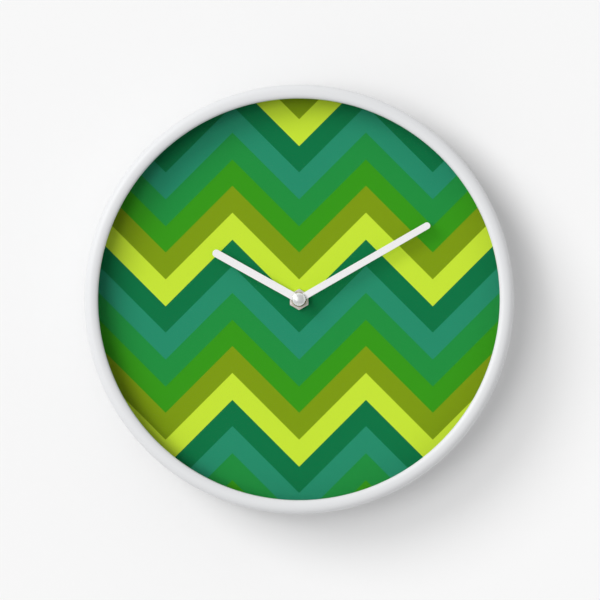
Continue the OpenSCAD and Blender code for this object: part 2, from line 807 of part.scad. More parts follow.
// Cross-slotted screw whose head bears on the plane z = 0 and whose shank runs up
module screw() {
    arm = head_r * 0.6;
    half = head_r * 0.12;
    difference() {
        union() {
            bar(head_r, -head_h, 0);
            bar(shank_r, -head_h / 2, shank_len);
        }
        block(-arm, -half, -head_h - 1, arm, half, -head_h * 0.45);
        block(-half, -arm, -head_h - 1, half, arm, -head_h * 0.45);
    }
}

module bridge_screws() {
    color("silver") for (p = pillars) at(p, z_bridge0) screw();
}

// Hour wheel with the tube that carries the hour hand
module hour_wheel() {
    color("ivory") difference() {
        union() {
            wheel(40, hour_module, shift_10, zf - d_hour0, zf - d_hour1, ph_hour);
            bar(hour_tube_r, zf - d_hour0, z_hour0 + hand_t + pass_gap);
        }
        bar(hour_bore_r, zf - d_hour0 - 1, z_cap0 + 5);
    }
}

// Cannon pinion, and the tube and thread that carry the minute hand and its cap
module minute_cannon() {
    color("gold") difference() {
        union() {
            bar(minute_tube_r - 0.55, zf - d_spigot0, zf - d_centre1 + slip_gap);
            bar(minute_tube_r - 0.15, zf - d_centre1 + slip_gap, zf - d_minute0 + slip_gap);
            pinion(12, motion_module, shift_12, zf - d_minute0, zf - d_cannon1, 0);
            bar(minute_tube_r, zf - d_cannon1 - slip_gap, z_minute0);
            bar(minute_thread_r, z_minute0 - slip_gap, z_cap0 + thread_len);
        }
        bar(minute_bore_r, zf - d_spigot0 - 1, z_cap0 + 5);
    }
}

// Dished spring that presses the centre wheel against the cannon's shoulder
module clutch_spring() {
    hole = minute_tube_r - 0.55 + press_gap;
    z0 = zf - d_spigot0 + press_gap;
    steel = clutch_room * 0.4;
    rise = clutch_room * 0.45;
    color("silver") rotate_extrude() polygon([
        [hole, z0], [clutch_r, z0 + rise], [clutch_r, z0 + rise + steel], [hole, z0 + steel]
    ]);
}

// Minute wheel and pinion of the motion work
module minute_wheel() {
    color("ivory") at(axis_w, 0) {
        bar(pivot_r, z_mid0 + slip_gap, zf - d_minute0 + slip_gap);
        wheel(36, motion_module, shift_12, zf - d_minute0, zf - d_minute1, ph_minute);
        pinion(10, hour_module, shift_10, zf - d_minute1 - slip_gap, zf - d_hour1 - slip_gap, 0);
        bar(pivot_r, zf - d_hour1 - 2 * slip_gap, zf + 0.6);
    }
}

// Setting gear on the arbor that runs out through the rear cover
module setting_arbor() {
    color("ivory") at(axis_k, 0) {
        bar(setter_r, z_knob0 + 2 * slip_gap, zf - end_play);
        gear(24, motion_module, shift_12, setter_ha, zf - d_minute0, zf - d_minute1, ph_setter);
        bar(pivot_r, zf - end_play - slip_gap, zf + 0.6);
    }
}

// Fluted knob for setting the hands
module setting_knob() {
    flute_r = knob_r * 0.08;
    color([0.1, 0.1, 0.1]) at(axis_k, 0) difference() {
        bar(knob_r, z_knob0, z_knob0 + knob_t);
        bar(setter_r + press_gap, z_knob0 - 1, z_well);
        for (i = [0 : 23])
            rotate(i * 15) translate([knob_r + flute_r / 3, 0, 0]) bar(flute_r, z_knob0 - 1, z_well);
    }
}

// Centre wheel, gripped by the clutch
module centre_wheel() {
    color("ivory") difference() {
        wheel(64, centre_module, shift_8, zf - d_centre0, zf - d_centre1, ph_centre);
        bar(minute_tube_r - 0.4, zf - d_centre0 - 1, zf - d_centre1 + 1);
    }
}

// Plain arbor with a pivot at each end
module arbor() {
    bar(pivot_r, z_bridge0 + slip_gap, z_bridge1 + 2 * slip_gap);
    bar(arbor_r, z_bridge1 + end_play / 2, z_mid0 - end_play / 2);
    bar(pivot_r, z_mid0 - 2 * slip_gap, z_mid1 - slip_gap);
}

module third_wheel() {
    color("ivory") at(axis_t, 0) {
        arbor();
        wheel(60, third_module, shift_8, zf - d_third0, zf - d_third1, ph_third);
        pinion(8, centre_module, shift_8, zf - d_third1 - slip_gap, z_mid0 - end_play / 2, 0);
    }
}

// Seconds wheel on the long arbor inside the cannon
module seconds_wheel() {
    color("ivory") {
        bar(pivot_r, z_bridge0 + slip_gap, z_bridge1 + 2 * slip_gap);
        bar(arbor_r, z_bridge1 + end_play / 2, z_cap0 + thread_len / 2);
        wheel(48, second_module, shift_8, zf - d_second0, zf - d_second1, ph_second);
        pinion(8, third_module, shift_8, zf - d_second1 - slip_gap, zf - d_second_pinion1, 0);
    }
}

module intermediate_wheel() {
    color("ivory") at(axis_i, 0) {
        arbor();
        wheel(50, rotor_module, shift_10, zf - d_inter0, zf - d_inter1, ph_inter);
        pinion(8, second_module, shift_8, zf - d_inter1 - slip_gap, zf - d_second1 + slip_gap, 0);
    }
}

// Motor pinion with the hub that carries the magnet
module rotor_pinion() {
    z_top = (stator_z0 + core_z0) / 2 + magnet_h / 2;
    color("ivory") at(axis_r, 0) {
        arbor();
        pinion(10, rotor_module, shift_10, zf - d_inter0 - 2 * slip_gap,
            zf - d_inter1 + 2 * slip_gap, 0);
        bar(rotor_hub_r, zf - d_inter1 + slip_gap, z_top + 2 * slip_gap);
    }
}

module rotor_magnet() {
    z_mid = (stator_z0 + core_z0) / 2;
    color("dimgray") at(axis_r, 0)
        tube(magnet_r, rotor_hub_r + press_gap, z_mid - magnet_h / 2, z_mid + magnet_h / 2);
}

// Flat stator with the rotor's opening and two arms up to the coil
module stator() {
    notch_r = 0.5;
    hole_r = magnet_r + air_gap;
    color("silver") translate([0, 0, stator_z0]) linear_extrude(iron_t) difference() {
        union() {
            translate([arm_left, arm_y0]) square([arm_w, arm_y1 - arm_y0]);
            translate([arm_right - arm_w, arm_y0]) square([arm_w, arm_y1 - arm_y0]);
            translate([arm_left, arm_y0]) square([arm_right - arm_left, 4.4]);
            translate(axis_r) circle(stator_r);
        }
        translate(axis_r) circle(hole_r);
        translate(axis_r + [0, hole_r]) circle(notch_r);
        translate(axis_r - [0, hole_r]) circle(notch_r);
        for (p = core_holes) translate(p) circle(shank_r + slip_gap);
    }
}

// Iron strip through the coil
module coil_core() {
    color("silver") difference() {
        block(arm_left, coil_y - core_w / 2, core_z0, arm_right, coil_y + core_w / 2, core_z1);
        for (p = core_holes) at(p, 0) bar(shank_r + slip_gap, core_z0 - 1, core_z1 + 1);
    }
}

module core_screws() {
    color("silver") for (p = core_holes) at(p, stator_z0) screw();
}

// Round bar along x on the coil's axis
module coil_bar(r, x0, x1) {
    translate([x0, coil_y, coil_z]) rotate([0, 90, 0]) cylinder(r = r, h = x1 - x0);
}

// Box along x, centred on the coil's axis
module coil_block(w, t, x0, x1) {
    block(x0, coil_y - w / 2, coil_z - t / 2, x1, coil_y + w / 2, coil_z + t / 2);
}

module coil_bobbin() {
    color("white") difference() {
        union() {
            coil_bar(flange_r, coil_x0, coil_x0 + flange_t);
            coil_bar(flange_r, coil_x1 - flange_t, coil_x1);
            coil_block(bore_w + 2 * bobbin_t, bore_t + 2 * bobbin_t, coil_x0, coil_x1);
        }
        coil_block(bore_w, bore_t, coil_x0 - 1, coil_x1 + 1);
    }
}

module coil_winding() {
    wrap = 2 * bobbin_t + 2 * press_gap;
    color("chocolate") difference() {
        coil_bar(winding_r, coil_x0 + flange_t + press_gap, coil_x1 - flange_t - press_gap);
        coil_block(bore_w + wrap, bore_t + wrap, coil_x0 - 1, coil_x1 + 1);
    }
}

// Circuit board on two posts of the shell
module circuit_board() {
    color("green") difference() {
        block(board_x0, board_y0, board_z0, board_x1, board_y1, board_z1);
        at(axis_k, 0) bar(setter_r + 1, board_z0 - 1, board_z1 + 1);
    }
}

module quartz_can() {
    color("silver") translate([board_x1 - quartz_len - 4, board_y1 - 2.8, board_z0 - quartz_r])
        rotate([0, 90, 0]) cylinder(r = quartz_r, h = quartz_len);
}

// Sealed chip on the circuit board
module chip_cap() {
    color([0.05, 0.05, 0.05]) translate([board_x0 + 2 * chip_r + 2, (board_y0 + board_y1) / 2, 0]) {
        bar(chip_r, board_z0 - chip_h / 2, board_z0);
        translate([0, 0, board_z0 - chip_h])
            cylinder(r1 = chip_r * 0.6, r2 = chip_r, h = chip_h / 2);
    }
}

// Flat leaf at the cell's button, with a tail up the wall and along the top to the circuit board
module positive_contact() {
    half = leaf_w / 2;
    color("silver") {
        block(wall_x - leaf_t, y_cell - half, z_cell - 4, wall_x, y_cell + half, tail_z1);
        block(wall_x - leaf_t, y_cell + half - 1, tail_z0, wall_x, wall_top, tail_z1);
        block(board_x1 - 4, wall_top - leaf_t, tail_z0, wall_x, wall_top, tail_z1);
    }
}

// Bowed leaf at the cell's base, with a tail up the wall to the circuit board
module negative_contact() {
    half = leaf_w / 2;
    bow = cell_x0 - slip_gap + wall_x;
    color("silver") {
        block(-wall_x, y_cell - half, z_cell - 4, -wall_x + leaf_t, y_cell + half, tail_z1);
        block(-wall_x, y_cell + half - 1, tail_z0, -wall_x + leaf_t, board_y0 + 4, tail_z1);
        translate([-wall_x, y_cell, z_cell - 3]) linear_extrude(6) polygon([
            [leaf_t / 2, -half], [bow, -1], [bow, 1], [leaf_t / 2, half],
            [leaf_t / 2, half - 0.6], [bow - leaf_t, 0.7], [bow - leaf_t, -0.7],
            [leaf_t / 2, 0.6 - half]
        ]);
    }
}

// Round bar along x on the cell's axis
module cell_bar(r, x0, x1) {
    translate([x0, y_cell, z_cell]) rotate([0, 90, 0]) cylinder(r = r, h = x1 - x0);
}

module battery_cell() {
    color("silver") {
        cell_bar(cell_d / 2 - sleeve_t, cell_x0, cell_x1 - button_h);
        cell_bar(button_r, cell_x1 - button_h - slip_gap, cell_x1);
    }
}

module battery_sleeve() {
    color("dimgray") difference() {
        cell_bar(cell_d / 2, cell_x0 + 0.4, cell_x1 - button_h - 0.4);
        cell_bar(cell_d / 2 - sleeve_t + press_gap, cell_x0, cell_x1);
    }
}

stand() frame_ring();
stand() lens();
stand() spacer_ring();
stand() dial_print();
stand() dial_board();
stand() framer_points();
stand() hanger_bracket();
stand() rubber_gasket();
stand() brass_washer();
stand() hex_nut();
stand() threaded_bush();
stand() hour_hand();
stand() minute_hand();
stand() cap_nut();
stand() front_shell();
stand() rear_cover();
stand() mid_plate();
stand() rear_bridge();
stand() bridge_screws();
stand() hour_wheel();
stand() minute_cannon();
stand() clutch_spring();
stand() minute_wheel();
stand() setting_arbor();
stand() setting_knob();
stand() centre_wheel();
stand() third_wheel();
stand() seconds_wheel();
stand() intermediate_wheel();
stand() rotor_pinion();
stand() rotor_magnet();
stand() stator();
stand() coil_core();
stand() core_screws();
stand() coil_bobbin();
stand() coil_winding();
stand() circuit_board();
stand() quartz_can();
stand() chip_cap();
stand() positive_contact();
stand() negative_contact();
stand() battery_cell();
stand() battery_sleeve();
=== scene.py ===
"""Looks of a round wall clock: finishes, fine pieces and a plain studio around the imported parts."""

from __future__ import annotations

import logging
import math
from dataclasses import dataclass
from enum import Enum
from typing import Callable, Optional, Sequence, Union

import bmesh
import bpy
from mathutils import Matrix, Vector

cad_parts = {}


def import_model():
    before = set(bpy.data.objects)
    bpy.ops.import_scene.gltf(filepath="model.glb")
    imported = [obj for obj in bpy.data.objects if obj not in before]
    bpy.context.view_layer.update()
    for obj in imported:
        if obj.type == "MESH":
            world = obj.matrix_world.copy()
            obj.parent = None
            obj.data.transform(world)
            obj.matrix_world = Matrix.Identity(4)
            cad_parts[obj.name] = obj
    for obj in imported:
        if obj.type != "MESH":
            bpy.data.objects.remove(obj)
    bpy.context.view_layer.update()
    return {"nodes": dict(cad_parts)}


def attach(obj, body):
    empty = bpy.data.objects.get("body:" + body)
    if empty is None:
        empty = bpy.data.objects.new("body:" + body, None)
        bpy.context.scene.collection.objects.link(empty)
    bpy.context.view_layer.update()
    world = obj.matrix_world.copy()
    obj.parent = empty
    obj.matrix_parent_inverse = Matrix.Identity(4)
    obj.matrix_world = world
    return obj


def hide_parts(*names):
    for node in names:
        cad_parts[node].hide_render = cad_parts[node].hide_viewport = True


LOG = logging.getLogger("wall_clock")
MM = 0.001
FLAT_BEND, CORNER_BEND = 1.0, 30.0
SOFT_BEND, JOINED_BEND, EASED_BEND = 32.0, 40.0, 50.0
MERGE, ON_AXIS = 1e-7, 1e-6
MOTTLE_SCALE, GLOSS_SCALE, BUMP_STRENGTH = 0.12, 0.3, 0.6

Mesh = bpy.types.Mesh
Piece = bpy.types.Object
Material = bpy.types.Material
Point2 = tuple[float, float]
Colour = tuple[float, float, float]
Placing = Callable[[float, float, float], Vector]


class Body(Enum):
    """The bodies that new pieces ride on."""

    CASE = "clock_case"
    MINUTE = "minute_group"
    HOUR = "hour_group"
    SETTER = "setter"
    CELL = "cell"


class Ink(Enum):
    """The printed dial's six inks, as screen colours."""

    LIME = (201, 230, 57)
    OLIVE = (127, 155, 20)
    LEAF = (56, 152, 26)
    GRASS = (35, 143, 65)
    TEAL = (40, 141, 108)
    FIR = (15, 116, 69)

    def linear(self) -> tuple[float, float, float, float]:
        """Returns the ink as a linear colour with alpha."""
        return (*(screen_to_linear(c / 255) for c in self.value), 1.0)


def screen_to_linear(value: float) -> float:
    """Turns one screen colour channel into a linear one.

    Args:
        value: The channel, from 0 to 1.

    Returns:
        The linear channel.
    """
    if value <= 0.04045:
        return value / 12.92
    return ((value + 0.055) / 1.055) ** 2.4


# Node wiring


def on_wires(operation: str, reflected: bool = False) -> Callable[[Wire, Operand], Wire]:
    """Makes an operator of Wire from a Math node.

    Args:
        operation: The node's operation.
        reflected: True where the wire is the right-hand operand.

    Returns:
        The method.
    """

    def method(wire: Wire, other: Operand) -> Wire:
        """Returns the operation's result on the wire and the other operand."""
        pair = (other, wire) if reflected else (wire, other)
        return wire.bench.maths(operation, *pair)

    return method


class Wire:
    """A node's output socket that takes part in Python arithmetic."""

    def __init__(self, bench: Bench, socket: bpy.types.NodeSocket) -> None:
        """Keeps the socket and the bench that its tree belongs to."""
        self.bench = bench
        self.socket = socket

    def port(self, name: Union[str, int]) -> Wire:
        """Returns another output of the same node."""
        return Wire(self.bench, self.socket.node.outputs[name])

    __add__, __radd__ = on_wires("ADD"), on_wires("ADD", True)
    __sub__, __rsub__ = on_wires("SUBTRACT"), on_wires("SUBTRACT", True)
    __mul__, __rmul__ = on_wires("MULTIPLY"), on_wires("MULTIPLY", True)
    __truediv__, __rtruediv__ = on_wires("DIVIDE"), on_wires("DIVIDE", True)
    __gt__, __lt__ = on_wires("GREATER_THAN"), on_wires("LESS_THAN")


Operand = Union[Wire, float]
Painter = Callable[["Bench"], Wire]
SocketValue = Union[Wire, float, int, bool, Sequence[float], Material]


class Bench:
    """Adds nodes to one tree and joins their sockets."""

    def __init__(self, tree: bpy.types.NodeTree) -> None:
        """Keeps the tree."""
        self.tree = tree

    @classmethod
    def cleared(cls, owner: Union[Material, bpy.types.World]) -> Bench:
        """Returns a bench on an owner's emptied tree."""
        owner.use_nodes = True
        owner.node_tree.nodes.clear()
        return cls(owner.node_tree)

    def add(
        self,
        kind: str,
        inputs: Optional[dict[Union[str, int], SocketValue]] = None,
        settings: Optional[dict[str, object]] = None,
        output: Union[str, int] = 0,
    ) -> Wire:
        """Adds one node.

        Args:
            kind: The node's type.
            inputs: Values or wires by socket name or number.
            settings: Its own settings, set first; "ramp" gives a ramp's blend and its stops.
            output: The output that is returned.

        Returns:
            The wire from that output.
        """
        node = self.tree.nodes.new(kind)
        for name, value in (settings or {}).items():
            if name == "ramp":
                self._set_ramp(node.color_ramp, *value)
            else:
                setattr(node, name, value)
        for key, value in (inputs or {}).items():
            self.feed(node.inputs[key], value)
        return Wire(self, node.outputs[output]) if node.outputs else None

    def feed(self, socket: bpy.types.NodeSocket, value: SocketValue) -> None:
        """Links a wire to a socket, or sets the socket's own value."""
        if isinstance(value, Wire):
            self.tree.links.new(value.socket, socket)
        else:
            socket.default_value = value

    def maths(self, operation: str, *operands: Operand) -> Wire:
        """Adds a Math node with these operands."""
        return self.add("ShaderNodeMath", dict(enumerate(operands)), {"operation": operation})

    def length(self, vector: Wire) -> Wire:
        """Returns a vector's length."""
        return self.add("ShaderNodeVectorMath", {0: vector}, {"operation": "LENGTH"}, "Value")

    def place(self) -> Wire:
        """Returns the shaded point in the piece's own space."""
        return self.add("ShaderNodeTexCoord", output="Object")

    def axes(self) -> Wire:
        """Returns the shaded point's X, with its Y and Z at the node's other ports."""
        return self.add("ShaderNodeSeparateXYZ", {0: self.place()})

    @staticmethod
    def _set_ramp(
        ramp: bpy.types.ColorRamp, blend: str, stops: Sequence[tuple[float, Sequence[float]]]
    ) -> None:
        """Gives a ramp its blend and these stops, and no others."""
        ramp.interpolation = blend
        while len(ramp.elements) > 1:
            ramp.elements.remove(ramp.elements[-1])
        for number, (place, colour) in enumerate(stops):
            element = ramp.elements[0] if number == 0 else ramp.elements.new(place)
            element.position = place
            element.color = colour


def placed(name: str, data: bpy.types.ID) -> Piece:
    """Returns a new object with this data, linked into the scene."""
    made = bpy.data.objects.new(name, data)
    bpy.context.scene.collection.objects.link(made)
    return made


def evaluated(holder: Piece) -> Mesh:
    """Returns an object's evaluated shape as a plain mesh."""
    depsgraph = bpy.context.evaluated_depsgraph_get()
    return bpy.data.meshes.new_from_object(holder.evaluated_get(depsgraph))


def section(name: str, outline: Sequence[Point2]) -> Mesh:
    """Returns a closed outline, in millimetres, as a mesh of edges."""
    made = bpy.data.meshes.new(name)
    count = len(outline)
    corners = [Vector((x, y, 0.0)) * MM for x, y in outline]
    made.from_pydata(corners, [(k, (k + 1) % count) for k in range(count)], [])
    return made


class ShapeTool:
    """A Geometry Nodes tree with named inputs that turns a host mesh into a finished one."""

    def __init__(self, name: str, inputs: dict[str, str]) -> None:
        """Makes the tree.

        Args:
            name: The tree's name.
            inputs: Socket types by input name, after the geometry and before the finish.
        """
        self.tree = bpy.data.node_groups.new(name, "GeometryNodeTree")
        face = self.tree.interface
        face.new_socket(name="Shape", in_out="INPUT", socket_type="NodeSocketGeometry")
        self.sockets = {
            label: face.new_socket(name=label, in_out="INPUT", socket_type=kind)
            for label, kind in {**inputs, "Finish": "NodeSocketMaterial"}.items()
        }
        face.new_socket(name="Shape", in_out="OUTPUT", socket_type="NodeSocketGeometry")
        self.bench = Bench(self.tree)
        self.entry = self.bench.add("NodeGroupInput")

    def given(self, name: str) -> Wire:
        """Returns the wire of a named input."""
        return self.entry.port(name)

    def close(self, shape: Wire) -> None:
        """Ends the tree in realized geometry with its finish."""
        real = self.bench.add("GeometryNodeRealizeInstances", {0: shape})
        dressed = self.bench.add(
            "GeometryNodeSetMaterial", {"Geometry": real, "Material": self.given("Finish")}
        )
        self.bench.add("NodeGroupOutput", {0: dressed})

    def run(self, host: Mesh, values: dict[str, SocketValue]) -> Mesh:
        """Runs the tree on a mesh.

        Args:
            host: The mesh that goes in.
            values: A value for each named input.

        Returns:
            The plain mesh that comes out.
        """
        worker = placed(self.tree.name + "_host", host)
        modifier = worker.modifiers.new("shape", "NODES")
        modifier.node_group = self.tree
        for label, value in values.items():
            modifier[self.sockets[label].identifier] = value
        made = evaluated(worker)
        worker.modifiers.remove(modifier)
        bpy.data.objects.remove(worker)
        return made


def set_around(
    name: str,
    part: Mesh,
    finish: Material,
    count: int,
    centre: Vector,
    first_turn: float = 0.0,
) -> Mesh:
    """Sets copies of a part around an axis that points to the front.

    Args:
        name: The tree's name.
        part: The part, drawn around the origin's axis.
        finish: Its finish.
        count: The number of copies.
        centre: A point on the axis.
        first_turn: The first copy's turn in radians.

    Returns:
        The copies as one mesh.
    """
    kinds = {"Count": "NodeSocketInt", "First Turn": "NodeSocketFloat", "Centre": "NodeSocketVector"}
    tool = ShapeTool(name, kinds)
    bench, copies = tool.bench, tool.given("Count")
    spots = bench.add("GeometryNodePoints", {"Count": copies, "Position": tool.given("Centre")})
    number = bench.add("GeometryNodeInputIndex")
    turn = tool.given("First Turn") + number * (2 * math.pi) / copies
    spin = bench.add("FunctionNodeAxisAngleToRotation", {"Axis": (0.0, 1.0, 0.0), "Angle": turn})
    inputs = {"Points": spots, "Instance": tool.given("Shape"), "Rotation": spin}
    tool.close(bench.add("GeometryNodeInstanceOnPoints", inputs))
    return tool.run(part, {"Count": count, "First Turn": first_turn, "Centre": centre, "Finish": finish})


@dataclass(frozen=True)
class ScrewLine:
    """A line wound around an axis, for a section to follow."""

    name: str
    radius: float
    rise: float
    turns: float
    steps: int
    start: Vector
    tilt: tuple[float, float, float]
    level: bool = False

    def sweep(self, outline: Sequence[Point2], finish: Material) -> Mesh:
        """Sweeps a closed outline along the line.

        Args:
            outline: The outline in millimetres.
            finish: The swept shape's finish.

        Returns:
            The closed mesh.
        """
        kinds = {label: "NodeSocketFloat" for label in ("Turns", "Radius", "Rise")}
        tool = ShapeTool(self.name, {**kinds, "Start": "NodeSocketVector"})
        bench, radius = tool.bench, tool.given("Radius")
        inputs = {"Resolution": self.steps, "Rotations": tool.given("Turns"), "Height": tool.given("Rise")}
        ends = {"Start Radius": radius, "End Radius": radius}
        line = bench.add("GeometryNodeCurveSpiral", {**inputs, **ends})
        if self.level:
            line = bench.add("GeometryNodeSetCurveNormal", {0: line}, {"mode": "Z_UP"})
        drawn = bench.add("GeometryNodeMeshToCurve", {0: tool.given("Shape")})
        inputs = {"Curve": line, "Profile Curve": drawn, "Fill Caps": True}
        wound = bench.add("GeometryNodeCurveToMesh", inputs)
        inputs = {"Geometry": wound, "Translation": tool.given("Start"), "Rotation": self.tilt}
        tool.close(bench.add("GeometryNodeTransform", inputs))
        values = {"Turns": self.turns, "Radius": self.radius * MM, "Rise": self.rise * MM}
        host = section(self.name + "_section", outline)
        return tool.run(host, {**values, "Start": self.start, "Finish": finish})


# Finishes


@dataclass(frozen=True)
class Finish:
    """A surface with fine grain: mottled colour, uneven gloss and a little relief."""

    name: str
    colour: Colour
    roughness: float
    metallic: float = 0.0
    mottle: float = 0.03
    unevenness: float = 0.06
    grain: float = 900.0
    relief: float = 0.01
    stretch: tuple[float, float, float] = (1.0, 1.0, 1.0)
    coat: float = 0.0
    specular: float = 0.5

    def point(self, bench: Bench) -> Wire:
        """Returns the surface point in the piece's own space, stretched along the grain."""
        return bench.add("ShaderNodeMapping", {"Vector": bench.place(), "Scale": self.stretch})

    def noise(self, bench: Bench, scale: float, detail: float = 3.0) -> Wire:
        """Returns a noise from 0 to 1 at a scale per metre."""
        inputs = {"Vector": self.point(bench), "Scale": scale, "Detail": detail}
        return bench.add("ShaderNodeTexNoise", inputs)

    @staticmethod
    def varied(middle: float, share: Wire, spread: float) -> Wire:
        """Returns a value that a share from 0 to 1 moves around its middle, by a spread either way."""
        return middle + (share - 0.5) * (2 * spread)

    def shaded(self, bench: Bench, colour: SocketValue, level: Operand) -> Wire:
        """Returns a colour made lighter or darker by a level around 1."""
        return bench.add("ShaderNodeHueSaturation", {"Value": level, "Color": colour})

    def cloud(self, bench: Bench) -> Wire:
        """Returns the mottle's level around 1."""
        return self.varied(1.0, self.noise(bench, self.grain * MOTTLE_SCALE), self.mottle)

    def tint(self, bench: Bench) -> Wire:
        """Returns the colour over the surface."""
        return self.shaded(bench, (*self.colour, 1.0), self.cloud(bench))

    def gloss(self, bench: Bench) -> Wire:
        """Returns the roughness over the surface."""
        return self.varied(self.roughness, self.noise(bench, self.grain * GLOSS_SCALE), self.unevenness)

    def height(self, bench: Bench) -> Wire:
        """Returns the relief over the surface, from 0 to 1."""
        return self.noise(bench, self.grain)

    def material(self) -> Material:
        """Returns the finish as a node material."""
        made = bpy.data.materials.new(self.name)
        self.shade(Bench.cleared(made))
        return made

    def shade(self, bench: Bench) -> None:
        """Builds the shader and joins it to the output."""
        inputs = {"Strength": BUMP_STRENGTH, "Distance": self.relief * MM, "Height": self.height(bench)}
        bump = bench.add("ShaderNodeBump", inputs)
        inputs = {
            "Base Color": self.tint(bench),
            "Roughness": self.gloss(bench),
            "Metallic": self.metallic,
            "Coat Weight": self.coat,
            "Specular IOR Level": self.specular,
            "Normal": bump,
        }
        surface = bench.add("ShaderNodeBsdfPrincipled", inputs)
        bench.add("ShaderNodeOutputMaterial", {"Surface": surface})


@dataclass(frozen=True)
class ChevronPrint(Finish):
    """The dial's print: zigzag bands of six inks."""

    band: float = 15.8
    fold: float = 39.5
    lift: float = 4.0
    depth: float = 1.04

    def tint(self, bench: Bench) -> Wire:
        """Returns the ink under each point."""
        across = bench.axes()
        zigzag = bench.maths("PINGPONG", across, self.fold * MM)
        inks = list(Ink)
        turn = (across.port("Z") - zigzag + self.lift * MM) / (self.band * len(inks) * MM)
        share = bench.maths("FRACT", turn)
        stops = [(number / len(inks), ink.linear()) for number, ink in enumerate(inks)]
        colour = bench.add("ShaderNodeValToRGB", {0: share}, {"ramp": ("CONSTANT", stops)})
        level = self.varied(self.depth, self.noise(bench, self.grain), self.mottle)
        return self.shaded(bench, colour, level)


@dataclass(frozen=True)
class Hardboard(Finish):
    """Pressed fibre board with the mesh mark of its press on the back."""

    mesh_pitch: float = 1.3

    def height(self, bench: Bench) -> Wire:
        """Returns the mesh mark with fibres over it."""
        across = bench.axes()
        rate = 2 * math.pi / (self.mesh_pitch * MM)
        waves = [bench.maths("SINE", wire * rate) for wire in (across, across.port("Z"))]
        return 0.5 + 0.22 * (waves[0] + waves[1]) + 0.4 * (self.noise(bench, self.grain) - 0.5)

    def tint(self, bench: Bench) -> Wire:
        """Returns the board's brown with paler fibres."""
        fibres = self.noise(bench, self.grain * 0.6, 6.0)
        return self.shaded(bench, (*self.colour, 1.0), 0.75 + 0.5 * fibres)


@dataclass(frozen=True)
class PlatedSteel(Finish):
    """Zinc plate with faint crystal patches."""

    patch: float = 260.0

    def tint(self, bench: Bench) -> Wire:
        """Returns the plate's grey, patch by patch."""
        inputs = {"Vector": self.point(bench), "Scale": self.patch}
        cells = bench.add("ShaderNodeTexVoronoi", inputs, output="Color")
        share = bench.add("ShaderNodeSeparateColor", {0: cells})
        return self.shaded(bench, (*self.colour, 1.0), self.varied(1.0, share, self.mottle))


@dataclass(frozen=True)
class CellFilm(Finish):
    """The cell's film: dark, with a copper band at the button's end."""

    band_from: float = 17.0
    band_colour: Colour = (0.62, 0.30, 0.10)

    def tint(self, bench: Bench) -> Wire:
        """Returns the film's two colours along the cell."""
        band = bench.axes() > self.band_from * MM
        inputs = {0: band, 6: (*self.colour, 1.0), 7: (*self.band_colour, 1.0)}
        colour = bench.add("ShaderNodeMix", inputs, {"data_type": "RGBA"}, 2)
        return self.shaded(bench, colour, self.cloud(bench))


@dataclass(frozen=True)
class CircuitMask(Finish):
    """Green solder mask over raised copper tracks."""

    pitch: float = 1.6

    def height(self, bench: Bench) -> Wire:
        """Returns the tracks' relief."""
        inputs = {"Vector": self.point(bench), "Scale": 0.25 / (self.pitch * MM), "Mortar Size": 0.012}
        return 1 - bench.add("ShaderNodeTexBrick", inputs, output="Fac")

    def tint(self, bench: Bench) -> Wire:
        """Returns the mask's green, lighter over the tracks."""
        return self.shaded(bench, (*self.colour, 1.0), 0.8 + 0.5 * self.height(bench))


@dataclass(frozen=True)
class TurnedMetal(Finish):
    """Metal with fine rings left by the lathe around the hands' axis."""

    ring_pitch: float = 0.12

    def height(self, bench: Bench) -> Wire:
        """Returns the rings' relief."""
        flat = bench.add("ShaderNodeMapping", {"Vector": bench.place(), "Scale": (1.0, 0.0, 1.0)})
        radius = bench.length(flat)
        rate = 2 * math.pi / (self.ring_pitch * MM)
        wave = bench.maths("SINE", radius * rate)
        return 0.5 + 0.3 * wave + 0.4 * (self.noise(bench, self.grain) - 0.5)


@dataclass(frozen=True)
class ClearDisc(Finish):
    """Clear acrylic that passes light and shows a faint gloss."""

    bend: float = 1.08
    smudge: float = 0.1

    def shade(self, bench: Bench) -> None:
        """Mixes a clear pass with a gloss that grows at flat angles."""
        smudge = self.varied(1.0, self.noise(bench, self.grain), self.smudge)
        edge = bench.add("ShaderNodeFresnel", {"IOR": self.bend})
        clear = bench.add("ShaderNodeBsdfTransparent", {"Color": (*self.colour, 1.0)})
        gloss = bench.add("ShaderNodeBsdfGlossy", {"Roughness": self.roughness})
        mixed = bench.add("ShaderNodeMixShader", {0: edge * smudge, 1: clear, 2: gloss})
        bench.add("ShaderNodeOutputMaterial", {"Surface": mixed})


